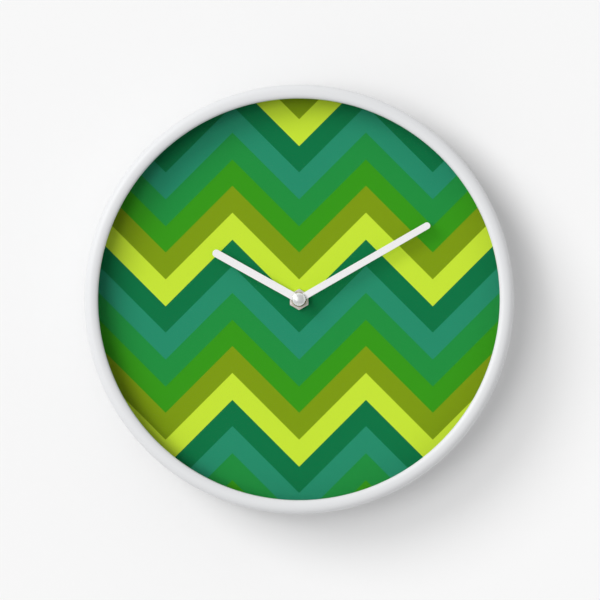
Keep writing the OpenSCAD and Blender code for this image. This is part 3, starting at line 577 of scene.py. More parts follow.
class Paints:
    """Every finish of the clock, made once and kept by its slot in the record."""

    def __init__(self) -> None:
        """Makes the materials."""
        finishes = [
            Finish("frame_white", (0.745, 0.753, 0.765), 0.42, mottle=0.006, grain=420.0, relief=0.012),
            ClearDisc("clear_acrylic", (0.998, 0.999, 0.998), 0.03, grain=40.0),
            Finish("dark_plastic", (0.08, 0.08, 0.08), 0.6, mottle=0.05),
            ChevronPrint(
                "printed_sheet", (0.13, 0.45, 0.12), 0.5,
                mottle=0.012, grain=2600.0, relief=0.003, specular=0.02,
            ),
            Hardboard("hardboard", (0.30, 0.19, 0.10), 0.8, grain=700.0, relief=0.12, specular=0.2),
            PlatedSteel("zinc_steel", (0.66, 0.67, 0.69), 0.34, 1.0, mottle=0.06, grain=1500.0, relief=0.004),
            Finish("black_rubber", (0.03, 0.03, 0.032), 0.75, mottle=0.1, grain=1600.0, relief=0.02),
            TurnedMetal("brass", (0.72, 0.52, 0.22), 0.28, 1.0, grain=1500.0, relief=0.004),
            TurnedMetal("nickel", (0.92, 0.85, 0.81), 0.18, 0.6, mottle=0.05, grain=1800.0, relief=0.003),
            Finish("white_paint", (0.92, 0.89, 0.92), 0.38, mottle=0.008, grain=1100.0, relief=0.004),
            Finish("white_cap", (0.88, 0.88, 0.88), 0.22, 0.5, mottle=0.006, unevenness=0.03),
            Finish("black_abs", (0.022, 0.022, 0.024), 0.55, mottle=0.12, grain=3200.0, relief=0.02),
            Finish("grey_plate", (0.52, 0.53, 0.55), 0.45, grain=1400.0),
            Finish("ivory_acetal", (0.82, 0.78, 0.67), 0.4, grain=1400.0),
            Finish("magnet", (0.09, 0.09, 0.10), 0.5, mottle=0.15, grain=2600.0),
            Finish("soft_iron", (0.55, 0.55, 0.57), 0.4, 1.0, stretch=(1, 1, 8)),
            Finish("bobbin_white", (0.82, 0.82, 0.80), 0.45),
            Finish("copper_wire", (0.62, 0.27, 0.11), 0.25, 1.0, mottle=0.08, grain=1200.0, coat=0.5),
            CircuitMask("circuit_green", (0.03, 0.20, 0.08), 0.35, relief=0.04),
            Finish("quartz_steel", (0.72, 0.72, 0.74), 0.2, 1.0, grain=1500.0, stretch=(0.2, 1, 1)),
            Finish("chip_black", (0.02, 0.02, 0.02), 0.2, mottle=0.1, grain=600.0, relief=0.03),
            Finish("cell_can", (0.72, 0.72, 0.73), 0.24, 1.0, grain=1200.0, stretch=(0.1, 1, 1)),
            CellFilm("cell_sleeve", (0.03, 0.035, 0.04), 0.22, mottle=0.05, coat=0.3),
        ]
        self.made = {finish.name: finish.material() for finish in finishes}

    def dress(self, nodes: dict[str, Piece], slot: str, names: Sequence[str]) -> None:
        """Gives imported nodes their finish.

        Args:
            nodes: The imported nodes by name.
            slot: The finish's slot.
            names: The nodes that take it.
        """
        for name in names:
            nodes[name].data.materials.clear()
            nodes[name].data.materials.append(self.made[slot])
            LOG.info("%s keeps its shape and takes %s", name, slot)


# Mesh making


def upright(x: float, y: float, z: float) -> Vector:
    """Places a point of the flat drawing, in millimetres, with its height towards the front."""
    return Vector((x, -z, y)) * MM


def arc(centre: Point2, radius: float, start: float, end: float, steps: int) -> list[Point2]:
    """Returns points on an arc.

    Args:
        centre: The arc's centre.
        radius: Its radius.
        start: Its first angle in degrees.
        end: Its last angle in degrees.
        steps: The number of steps.

    Returns:
        The points from start to end.
    """
    angles = [math.radians(start + (end - start) * k / steps) for k in range(steps + 1)]
    return [(centre[0] + radius * math.cos(a), centre[1] + radius * math.sin(a)) for a in angles]


def smoothed(mesh: Mesh, angle: float = SOFT_BEND) -> Mesh:
    """Shades a mesh smooth, with sharp edges where it bends more than an angle in degrees."""
    mesh.polygons.foreach_set("use_smooth", [True] * len(mesh.polygons))
    mesh.set_sharp_from_angle(angle=math.radians(angle))
    return mesh


def shut(name: str, work: bmesh.types.BMesh, angle: float) -> Mesh:
    """Turns a bmesh into a smoothed mesh and frees it."""
    mesh = bpy.data.meshes.new(name)
    work.to_mesh(mesh)
    work.free()
    return smoothed(mesh, angle)


def from_bmesh(name: str, work: bmesh.types.BMesh, angle: float = SOFT_BEND) -> Mesh:
    """Closes a bmesh into a mesh with merged doubles and outward faces."""
    bmesh.ops.remove_doubles(work, verts=work.verts, dist=MERGE)
    bmesh.ops.recalc_face_normals(work, faces=work.faces)
    return shut(name, work, angle)


def lathe(name: str, outline: Sequence[Point2], place: Placing, steps: int = 96) -> Mesh:
    """Turns an outline of radius and height about its axis.

    Args:
        name: The mesh's name.
        outline: A closed outline, or one whose ends lie on the axis.
        place: What puts a drawn point into the clock's space.
        steps: Faces around.

    Returns:
        The closed mesh.
    """
    work = bmesh.new()
    rows = []
    for radius, height in outline:
        if radius < ON_AXIS:
            rows.append([work.verts.new(place(0.0, 0.0, height))] * steps)
            continue
        turn = [2 * math.pi * k / steps for k in range(steps)]
        rows.append([work.verts.new(place(radius * math.cos(a), radius * math.sin(a), height)) for a in turn])
    closed = outline[0][0] > ON_AXIS
    pairs = list(zip(rows, rows[1:] + rows[:1])) if closed else list(zip(rows, rows[1:]))
    for low, high in pairs:
        for k in range(steps):
            after = (k + 1) % steps
            corners = list(dict.fromkeys((low[k], low[after], high[after], high[k])))
            if len(corners) > 2:
                work.faces.new(corners)
    return from_bmesh(name, work)


def plate(name: str, loops: Sequence[Sequence[Point2]], low: float, high: float, edge: float) -> Mesh:
    """Cuts a flat plate with rounded edges.

    Args:
        name: The mesh's name.
        loops: The outline and then its holes, in millimetres.
        low: The rear face's height.
        high: The front face's height.
        edge: The edges' rounding.

    Returns:
        The closed mesh, standing in the clock's space.
    """
    curve = bpy.data.curves.new(name + "_outline", "CURVE")
    curve.dimensions = "2D"
    curve.fill_mode = "BOTH"
    curve.extrude = (high - low) / 2 - edge
    curve.bevel_depth = edge
    curve.bevel_resolution = 2
    curve.offset = -edge
    for loop in loops:
        spline = curve.splines.new("POLY")
        spline.points.add(len(loop) - 1)
        spline.points.foreach_set("co", [c for x, y in loop for c in (x, y, 0.0, 1.0)])
        spline.use_cyclic_u = True
    holder = placed(name + "_outline", curve)
    flat = evaluated(holder)
    work = bmesh.new()
    work.from_mesh(flat)
    bpy.data.objects.remove(holder)
    bpy.data.curves.remove(curve)
    bpy.data.meshes.remove(flat)
    bmesh.ops.remove_doubles(work, verts=work.verts, dist=1e-4)
    for vert in work.verts:
        vert.co = upright(vert.co.x, vert.co.y, vert.co.z + (low + high) / 2)
    return from_bmesh(name, work, EASED_BEND)


def joined(name: str, meshes: Sequence[Mesh]) -> Mesh:
    """Joins meshes into one, each kept as its own closed shell."""
    work = bmesh.new()
    for mesh in meshes:
        work.from_mesh(mesh)
    return shut(name, work, JOINED_BEND)


@dataclass
class Assembly:
    """Common ground of the sub-assemblies."""

    paints: Paints
    nodes: dict[str, Piece]

    def add(
        self,
        name: str,
        mesh: Mesh,
        body: Body,
        slot: str,
        stands_for: Sequence[str],
    ) -> Piece:
        """Puts a finished piece on its body.

        Args:
            name: The piece's name.
            mesh: Its mesh, in the clock's space.
            body: The body that it rides on.
            slot: Its finish.
            stands_for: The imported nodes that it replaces.

        Returns:
            The piece.
        """
        mesh.materials.clear()
        mesh.materials.append(self.paints.made[slot])
        piece = placed(name, mesh)
        flats = piece.modifiers.new("keep_flats_flat", "WEIGHTED_NORMAL")
        flats.keep_sharp = True
        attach(piece, body.value)
        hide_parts(*stands_for)
        LOG.info("%s: %d faces on %s", name, len(mesh.polygons), body.value)
        return piece

    def ease(
        self, name: str, body: Body, slot: str, width: float, raised: Optional[Mesh] = None
    ) -> None:
        """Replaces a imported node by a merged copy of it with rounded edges.

        Args:
            name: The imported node.
            body: The body that it rides on.
            slot: Its finish.
            width: The edges' rounding in millimetres.
            raised: Moulded marks that stand on it.
        """
        work = bmesh.new()
        work.from_mesh(self.nodes[name].data)
        bmesh.ops.remove_doubles(work, verts=work.verts, dist=2e-6)
        flat = math.radians(FLAT_BEND)
        bmesh.ops.dissolve_limit(work, angle_limit=flat, verts=work.verts, edges=work.edges)
        turns = {edge: edge.calc_face_angle() for edge in work.edges if edge.is_manifold}
        bends = [edge for edge, turn in turns.items() if turn > math.radians(CORNER_BEND)]
        bmesh.ops.bevel(
            work, geom=bends, offset=width * MM, offset_type="OFFSET", segments=2, profile=0.5,
            affect="EDGES", clamp_overlap=True,
        )
        bmesh.ops.recalc_face_normals(work, faces=work.faces)
        if raised:
            work.from_mesh(raised)
        self.add(name + "_eased", shut(name, work, EASED_BEND), body, slot, [name])

    def keep(self, slot: str, *names: str) -> None:
        """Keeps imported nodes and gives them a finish."""
        self.paints.dress(self.nodes, slot, names)


@dataclass
class FrameCase(Assembly):
    """Frame ring, glazing, spacer, dial and what holds them."""

    frame_r: float = 127.0
    ring_w: float = 8.8
    inner_round: float = 3.6
    inner_drop: float = 2.5
    front_drop: float = 5.0
    fullness: float = 2.4
    bend_steps: int = 28
    ring_steps: int = 288
    side_draft: float = 0.6
    rebate_r: float = 121.4
    lens_front: float = 36.5
    depth: float = 40.0
    rear_round: float = 1.0
    edge_ease: float = 0.15
    spacer_r: float = 121.1
    spacer_t: float = 1.9
    spacer_low: float = 22.1
    spacer_high: float = 34.9
    spacer_ease: float = 0.2
    point_count: int = 8
    point_w: float = 9.6
    point_low: float = 18.2
    point_high: float = 18.8
    point_from: float = 109.6
    point_to: float = 124.4
    point_edge: float = 0.12

    def build(self) -> None:
        """Builds the ring and its fittings and dresses the rest."""
        self.add("frame_ring_turned", self.ring(), Body.CASE, "frame_white", ["frame_ring"])
        self.add("spacer_ring_turned", self.spacer(), Body.CASE, "dark_plastic", ["spacer_ring"])
        self.add("framer_points_set", self.points(), Body.CASE, "zinc_steel", ["framer_points"])
        self.keep("clear_acrylic", "lens")
        self.keep("printed_sheet", "dial_print")
        self.keep("hardboard", "dial_board")

    def profile(self) -> list[Point2]:
        """Returns the ring's section, anticlockwise, as radius and height."""
        opening = self.frame_r - self.ring_w
        crest = opening + self.inner_round
        front_round = self.ring_w - self.inner_round - self.side_draft
        power = 2 / self.fullness
        quarter = arc((0.0, 0.0), 1.0, 0, 90, self.bend_steps)[1:-1]
        bend = [(1.0, 0.0), *((x**power, y**power) for x, y in quarter), (0.0, 1.0)]
        ease = self.edge_ease
        rear = self.frame_r - self.rear_round
        loop = [(self.rebate_r + ease, 0.0)]
        loop += arc((rear, self.rear_round), self.rear_round, -90, 0, 6)
        side, foot = self.depth - self.front_drop, self.depth - self.inner_drop
        loop += [(crest + x * front_round, side + y * self.front_drop) for x, y in bend]
        loop += [(crest - x * self.inner_round, foot + y * self.inner_drop) for x, y in bend[-2::-1]]
        loop += arc((opening + ease, self.lens_front + ease), ease, 180, 270, 3)
        return loop + [(self.rebate_r, self.lens_front), (self.rebate_r, ease)]

    def ring(self) -> Mesh:
        """Sweeps the section around the frame's circle."""
        tool = ShapeTool("ring_sweep", {"Path Radius": "NodeSocketFloat", "Steps": "NodeSocketInt"})
        bench = tool.bench
        drawn = bench.add("GeometryNodeMeshToCurve", {0: tool.given("Shape")})
        inputs = {"Resolution": tool.given("Steps"), "Radius": tool.given("Path Radius")}
        circle = bench.add("GeometryNodeCurvePrimitiveCircle", inputs)
        level = bench.add("GeometryNodeSetCurveNormal", {0: circle}, {"mode": "Z_UP"})
        swept = bench.add("GeometryNodeCurveToMesh", {"Curve": level, "Profile Curve": drawn})
        inputs = {"Geometry": swept, "Rotation": (-math.pi / 2, 0.0, 0.0)}
        tool.close(bench.add("GeometryNodeTransform", inputs))
        path_r = self.rebate_r
        host = section("ring_section", [(r - path_r, z) for r, z in self.profile()])
        finish = self.paints.made["frame_white"]
        made = tool.run(host, {"Path Radius": path_r * MM, "Steps": self.ring_steps, "Finish": finish})
        return smoothed(made, JOINED_BEND)

    def spacer(self) -> Mesh:
        """Turns the ring between the dial and the glazing."""
        inner = self.spacer_r - self.spacer_t
        low, high, ease = self.spacer_low, self.spacer_high, self.spacer_ease
        outline = [
            (inner, low + ease), (inner + ease, low), (self.spacer_r, low),
            (self.spacer_r, high), (inner + ease, high), (inner, high - ease),
        ]
        return lathe("spacer", outline, upright, 192)

    def points(self) -> Mesh:
        """Sets one framer's point around the board."""
        half = self.point_w / 2
        nose = arc((self.point_from + half, 0.0), half, 90, 270, 16)
        outline = nose + [(self.point_to, -half), (self.point_to, half)]
        tab = plate("point", [outline], self.point_low, self.point_high, self.point_edge)
        finish, half_turn = self.paints.made["zinc_steel"], math.pi / self.point_count
        made = set_around("point_ring", tab, finish, self.point_count, Vector(), half_turn)
        return smoothed(made, EASED_BEND)


@dataclass
class HubFixing(Assembly):
    """Hanger, gasket, washer, nut and the threaded bush that clamps them."""

    bush_r: float = 3.95
    bore_r: float = 2.75
    thread_depth: float = 0.32
    pitch: float = 0.75
    low: float = 16.0
    plain_to: float = 17.6
    high: float = 25.8
    chamfer: float = 0.2
    runout: float = 0.3
    crest_half: float = 0.05
    ridge_sink: float = 0.02
    ridge_share: float = 0.84
    thread_steps: int = 40

    def build(self) -> None:
        """Threads the bush and dresses the rest."""
        self.add("threaded_bush_cut", self.bush(), Body.CASE, "brass", ["threaded_bush"])
        self.ease("hanger_bracket", Body.CASE, "zinc_steel", 0.15)
        self.ease("hex_nut", Body.CASE, "nickel", 0.3)
        self.keep("black_rubber", "rubber_gasket")
        self.keep("brass", "brass_washer")

    def bush(self) -> Mesh:
        """Returns the bush's turned core with its thread wound on."""
        root = self.bush_r - self.thread_depth
        top, cut = self.high, self.chamfer
        outline = [
            (self.bore_r, self.low), (self.bush_r, self.low), (self.bush_r, self.plain_to - self.runout),
            (root, self.plain_to), (root, top - cut), (root - cut, top),
            (self.bore_r + cut, top), (self.bore_r, top - cut),
        ]
        core = lathe("bush_core", outline, upright)
        return joined("bush", [core, self.thread(root)])

    def thread(self, root: float) -> Mesh:
        """Winds one ridge along a screw line."""
        rise = self.high - self.plain_to - 1.2 * self.pitch
        start = upright(0.0, 0.0, self.plain_to + self.pitch / 2)
        tilt = (math.pi / 2, 0.0, 0.0)
        line = ScrewLine("thread_wind", root, rise, rise / self.pitch, self.thread_steps, start, tilt, True)
        half, tip, sunk = self.pitch * self.ridge_share / 2, self.crest_half, -self.ridge_sink
        ridge = [(sunk, -half), (self.thread_depth, -tip), (self.thread_depth, tip), (sunk, half)]
        return line.sweep(ridge, self.paints.made["brass"])


@dataclass(frozen=True)
class HandShape:
    """A hand's sizes: a round hub and a straight blade with a round end."""

    reach: float
    width: float
    angle: float
    hub_r: float
    bore_r: float
    low: float

    def outline(self) -> list[Point2]:
        """Returns the hand's outline, turned to its place on the dial."""
        half = self.width / 2
        root = math.degrees(math.asin(half / self.hub_r))
        flat = arc((self.reach - half, 0.0), half, -90, 90, 16)
        flat += arc((0.0, 0.0), self.hub_r, root, 360 - root, 48)
        turn = math.radians(self.angle)
        side, up = math.cos(turn), math.sin(turn)
        return [(x * side - y * up, x * up + y * side) for x, y in flat]

    def cut(self, name: str, thickness: float, edge: float) -> Mesh:
        """Cuts the hand with its bore from sheet."""
        hole = arc((0.0, 0.0), self.bore_r, 0, 352.5, 47)
        return plate(name, [self.outline(), hole], self.low, self.low + thickness, edge)


@dataclass
class HandSet(Assembly):
    """Hour hand, minute hand and the domed cap."""

    hour: HandShape = HandShape(58.2, 4.6, 150.9, 3.9, 2.57, 26.9)
    minute: HandShape = HandShape(89.1, 4.1, 29.9, 3.7, 1.62, 29.2)
    collet_low: float = 26.1
    collet_r: float = 3.4
    collet_ease: float = 0.15
    hand_t: float = 0.6
    edge: float = 0.12
    cap_r: float = 3.95
    cap_low: float = 29.8
    cap_skirt: float = 2.5
    cap_h: float = 3.7
    cap_bore_r: float = 1.62
    cap_bore_h: float = 2.3
    cap_ease: float = 0.15
    brow_rise: Point2 = (0.2, 0.08)
    brow_inset: float = 0.015
    rim_turn: float = 0.9
    rim_step: float = 0.7

    def build(self) -> None:
        """Cuts both hands and turns the cap."""
        blade = self.hour.cut("hour_blade", self.hand_t, self.edge)
        hour = joined("hour", [blade, self.collet()])
        minute = self.minute.cut("minute_blade", self.hand_t, self.edge)
        self.add("hour_hand_cut", hour, Body.HOUR, "white_paint", ["hour_hand"])
        self.add("minute_hand_cut", minute, Body.MINUTE, "white_paint", ["minute_hand"])
        self.add("cap_nut_turned", self.cap(), Body.MINUTE, "white_cap", ["cap_nut"])

    def collet(self) -> Mesh:
        """Turns the hour hand's collet."""
        low, high, ease = self.collet_low, self.hour.low + 0.1, self.collet_ease
        outline = [
            (self.hour.bore_r, low), (self.collet_r - ease, low), (self.collet_r, low + ease),
            (self.collet_r, high), (self.hour.bore_r, high),
        ]
        return lathe("hour_collet", outline, upright, 64)

    def cap(self) -> Mesh:
        """Turns the domed cap with its blind bore."""
        dome = self.cap_h - self.cap_skirt
        dome_r = (self.cap_r**2 + dome**2) / (2 * dome)
        top = self.cap_low + self.cap_h
        centre = top - dome_r
        first = math.degrees(math.asin((self.cap_low + self.cap_skirt - centre) / dome_r))
        rim, step = first + self.rim_turn, self.rim_step
        crown = arc((0.0, centre), dome_r, rim, rim + step, 1)
        crown += arc((0.0, centre), dome_r, rim + 2 * step, 90, 24)
        crown[-1] = (0.0, top)
        bore_top = self.cap_low + self.cap_bore_h
        ease, brow = self.cap_ease, self.cap_low + self.cap_skirt
        outline = [
            (0.0, bore_top), (self.cap_bore_r, bore_top), (self.cap_bore_r, self.cap_low),
            (self.cap_r - ease, self.cap_low), (self.cap_r, self.cap_low + ease),
            *((self.cap_r, brow - rise) for rise in self.brow_rise), (self.cap_r - self.brow_inset, brow),
        ]
        return lathe("cap", outline + crown, upright, 96)


@dataclass
class Movement(Assembly):
    """The movement's case, plates, setting knob and contacts."""

    knob_x: float = -11.262
    knob_y: float = 15.756
    knob_r: float = 5.1
    knob_low: float = 1.4
    knob_high: float = 4.6
    knob_bore_r: float = 1.22
    knob_ease: float = 0.35
    dish_depth: float = 0.5
    dish_w: Point2 = (0.9, 1.2)
    rib_count: int = 28
    rib_r: float = 0.3
    rib_inset: float = 0.3
    rib_ease: float = 0.15
    mark_low: float = 0.95
    mark_high: float = 1.26
    sign_x: float = 20.5
    sign_y: float = -7.4
    sign_half: float = 1.9
    sign_bar: float = 0.42
    arrow_r: float = 8.7
    arrow_half: float = 0.4
    arrow_turn: Point2 = (205.0, 318.0)
    pin_spots: tuple[Point2, ...] = ((19.5, 17.0), (-21.0, 3.0), (4.0, -6.5))
    pin_r: float = 2.2
    pin_line: float = 0.3
    mark_edge: float = 0.05
    shell_ease: float = 0.2

    def build(self) -> None:
        """Builds the ribbed knob and dresses the rest."""
        self.add("setting_knob_ribbed", self.knob(), Body.SETTER, "black_abs", ["setting_knob"])
        self.ease("front_shell", Body.CASE, "black_abs", self.shell_ease)
        self.ease("rear_cover", Body.CASE, "black_abs", self.shell_ease, self.marks())
        self.keep("grey_plate", "mid_plate", "rear_bridge")
        self.keep("zinc_steel", "bridge_screws", "clutch_spring", "positive_contact", "negative_contact")
        self.keep("brass", "minute_cannon")

    def marks(self) -> Mesh:
        """Moulds the cell's signs, a setting arrow and the pin marks of the mould."""
        far, bar, y = self.sign_half, self.sign_bar, self.sign_y
        minus = [(-far, -bar), (far, -bar), (far, bar), (-far, bar)]
        plus = [(-far, -bar), (-bar, -bar), (-bar, -far), (bar, -far), (bar, -bar), (far, -bar)]
        plus += [(-x, -z) for x, z in plus]
        knob, radius, half = (self.knob_x, self.knob_y), self.arrow_r, self.arrow_half
        start, end = self.arrow_turn
        arrow = arc(knob, radius + half, start, end, 28) + arc(knob, radius + 3 * half, end, end, 1)[:1]
        arrow += arc(knob, radius, end + 14, end, 1)[:1] + arc(knob, radius - 3 * half, end, end, 1)[:1]
        arrow += arc(knob, radius - half, end, start, 28)
        drawn = [
            [[(x + self.sign_x, z + y) for x, z in plus]],
            [[(x - self.sign_x, z + y) for x, z in minus]],
            [arrow],
        ]
        radii = (self.pin_r, self.pin_r - self.pin_line)
        drawn += [[arc(spot, r, 0, 352.5, 47) for r in radii] for spot in self.pin_spots]
        shapes = [
            plate("mark_%d" % number, loops, self.mark_low, self.mark_high, self.mark_edge)
            for number, loops in enumerate(drawn)
        ]
        return joined("cover_marks", shapes)

    def at_knob(self, x: float, y: float, z: float) -> Vector:
        """Places a drawn point around the knob's axis."""
        return upright(x + self.knob_x, y + self.knob_y, z)

    def knob(self) -> Mesh:
        """Turns the knob's core and sets ribs around it."""
        low, high, ease = self.knob_low, self.knob_high, self.knob_ease
        core_r, bore, dish = self.knob_r - self.rib_r, self.knob_bore_r, low + self.dish_depth
        outline = [
            (bore, dish), (bore + self.dish_w[0], dish), (bore + self.dish_w[1], low),
            (core_r - ease, low), (core_r, low + ease), (core_r, high - ease), (core_r - ease, high),
            (bore, high),
        ]
        core = lathe("knob_core", outline, self.at_knob, 84)
        return joined("knob", [core, self.ribs(core_r)])

    def ribs(self, core_r: float) -> Mesh:
        """Sets one grip rib around the knob's rim."""
        low, high, ease = self.knob_low + self.rib_inset, self.knob_high - self.rib_inset, self.rib_ease
        outline = [
            (0.0, low), (self.rib_r - ease, low), (self.rib_r, low + ease),
            (self.rib_r, high - ease), (self.rib_r - ease, high), (0.0, high),
        ]

        def on_rim(x: float, y: float, z: float) -> Vector:
            """Places a drawn point at the rim, right of the axis."""
            return upright(x + core_r, y, z)

        rib = lathe("knob_rib", outline, on_rim, 10)
        centre = upright(self.knob_x, self.knob_y, 0.0)
        return set_around("rib_ring", rib, self.paints.made["black_abs"], self.rib_count, centre)


@dataclass
class WheelTrain(Assembly):
    """The wheels between the motor and the hands."""

    def build(self) -> None:
        """Dresses the wheels."""
        self.keep("ivory_acetal", "hour_wheel", "minute_wheel", "setting_arbor", "centre_wheel")
        self.keep("ivory_acetal", "third_wheel", "seconds_wheel", "intermediate_wheel", "rotor_pinion")


@dataclass
class MotorAndCircuit(Assembly):
    """Stepping motor, coil and circuit board."""

    coil_y: float = 20.0
    coil_z: float = 9.5
    coil_from: float = 9.54
    coil_to: float = 20.0
    coil_r: float = 3.7
    wire_r: float = 0.12
    wire_space: float = 1.02
    layer_sink: float = 0.03
    core_r: float = 2.95
    turn_steps: int = 36

    def build(self) -> None:
        """Winds the coil and dresses the rest."""
        self.keep("magnet", "rotor_magnet")
        self.keep("soft_iron", "stator", "coil_core")
        self.keep("zinc_steel", "core_screws")
        self.keep("bobbin_white", "coil_bobbin")
        self.add("coil_winding_wound", self.winding(), Body.CASE, "copper_wire", ["coil_winding"])
        self.keep("circuit_green", "circuit_board")
        self.keep("quartz_steel", "quartz_can")
        self.keep("chip_black", "chip_cap")

    def along(self, x: float, y: float, z: float) -> Vector:
        """Places a drawn point with its height along the coil."""
        return upright(z, self.coil_y + x, self.coil_z + y)

    def winding(self) -> Mesh:
        """Winds one layer of wire over the inner layers."""
        inner, low, high = self.coil_r - 2 * self.wire_r + self.layer_sink, self.coil_from, self.coil_to
        outline = [(self.core_r, low), (inner, low), (inner, high), (self.core_r, high)]
        layers = lathe("coil_layers", outline, self.along, 48)
        rise = high - low - 2 * self.wire_r
        turns = rise / (2 * self.wire_space * self.wire_r)
        start = upright(low + self.wire_r, self.coil_y, self.coil_z)
        tilt = (0.0, math.pi / 2, 0.0)
        line = ScrewLine("coil_wind", self.coil_r - self.wire_r, rise, turns, self.turn_steps, start, tilt)
        wire = arc((0.0, 0.0), self.wire_r, 0, 300, 5)
        return joined("coil", [layers, line.sweep(wire, self.paints.made["copper_wire"])])


@dataclass
class BatteryCell(Assembly):
    """The cell and its film."""

    centre_y: float = -20.07
    centre_z: float = 8.6
    foot_x: float = -24.25
    tip_x: float = 26.25
    radius: float = 7.25
    film: float = 0.2
    film_inset: float = 0.4
    button_r: float = 2.7
    button_h: float = 1.2
    button_round: float = 0.3
    button_flare: float = 0.25
    foot_r: Point2 = (3.4, 3.6)
    foot_dip: float = 0.15
    foot_round: float = 0.4
    shoulder_round: float = 0.5
    film_gap: float = 0.02
    film_ease: float = 0.08

    def build(self) -> None:
        """Turns the can and the film."""
        self.add("battery_cell_turned", self.can(), Body.CELL, "cell_can", ["battery_cell"])
        self.add("battery_sleeve_turned", self.wrap(), Body.CELL, "cell_sleeve", ["battery_sleeve"])

    def along(self, x: float, y: float, z: float) -> Vector:
        """Places a drawn point with its height along the cell."""
        return upright(z, self.centre_y + x, self.centre_z + y)

    def can(self) -> Mesh:
        """Turns the can with its foot, shoulder and button."""
        wide, foot, top = self.radius - self.film, self.foot_x, self.tip_x - self.button_h
        dip, low, high, tip = foot + self.foot_dip, self.foot_round, self.shoulder_round, self.button_round
        outline = [(0.0, dip), (self.foot_r[0], dip), (self.foot_r[1], foot)]
        outline += arc((wide - low, foot + low), low, -90, 0, 4)
        outline += arc((wide - high, top - high), high, 0, 90, 5)
        outline += [(self.button_r + self.button_flare, top)]
        outline += arc((self.button_r - tip, self.tip_x - tip), tip, 0, 90, 4)
        return lathe("cell_can", outline + [(0.0, self.tip_x)], self.along, 72)

    def wrap(self) -> Mesh:
        """Turns the thin film around the can."""
        wide, ease, inner = self.radius, self.film_ease, self.radius - self.film + self.film_gap
        low, high = self.foot_x + self.film_inset, self.tip_x - self.button_h - self.film_inset
        outline = [(inner, low), (wide - ease, low), (wide, low + ease)]
        outline += [(wide, high - ease), (wide - ease, high), (inner, high)]
        return lathe("cell_film", outline, self.along, 72)


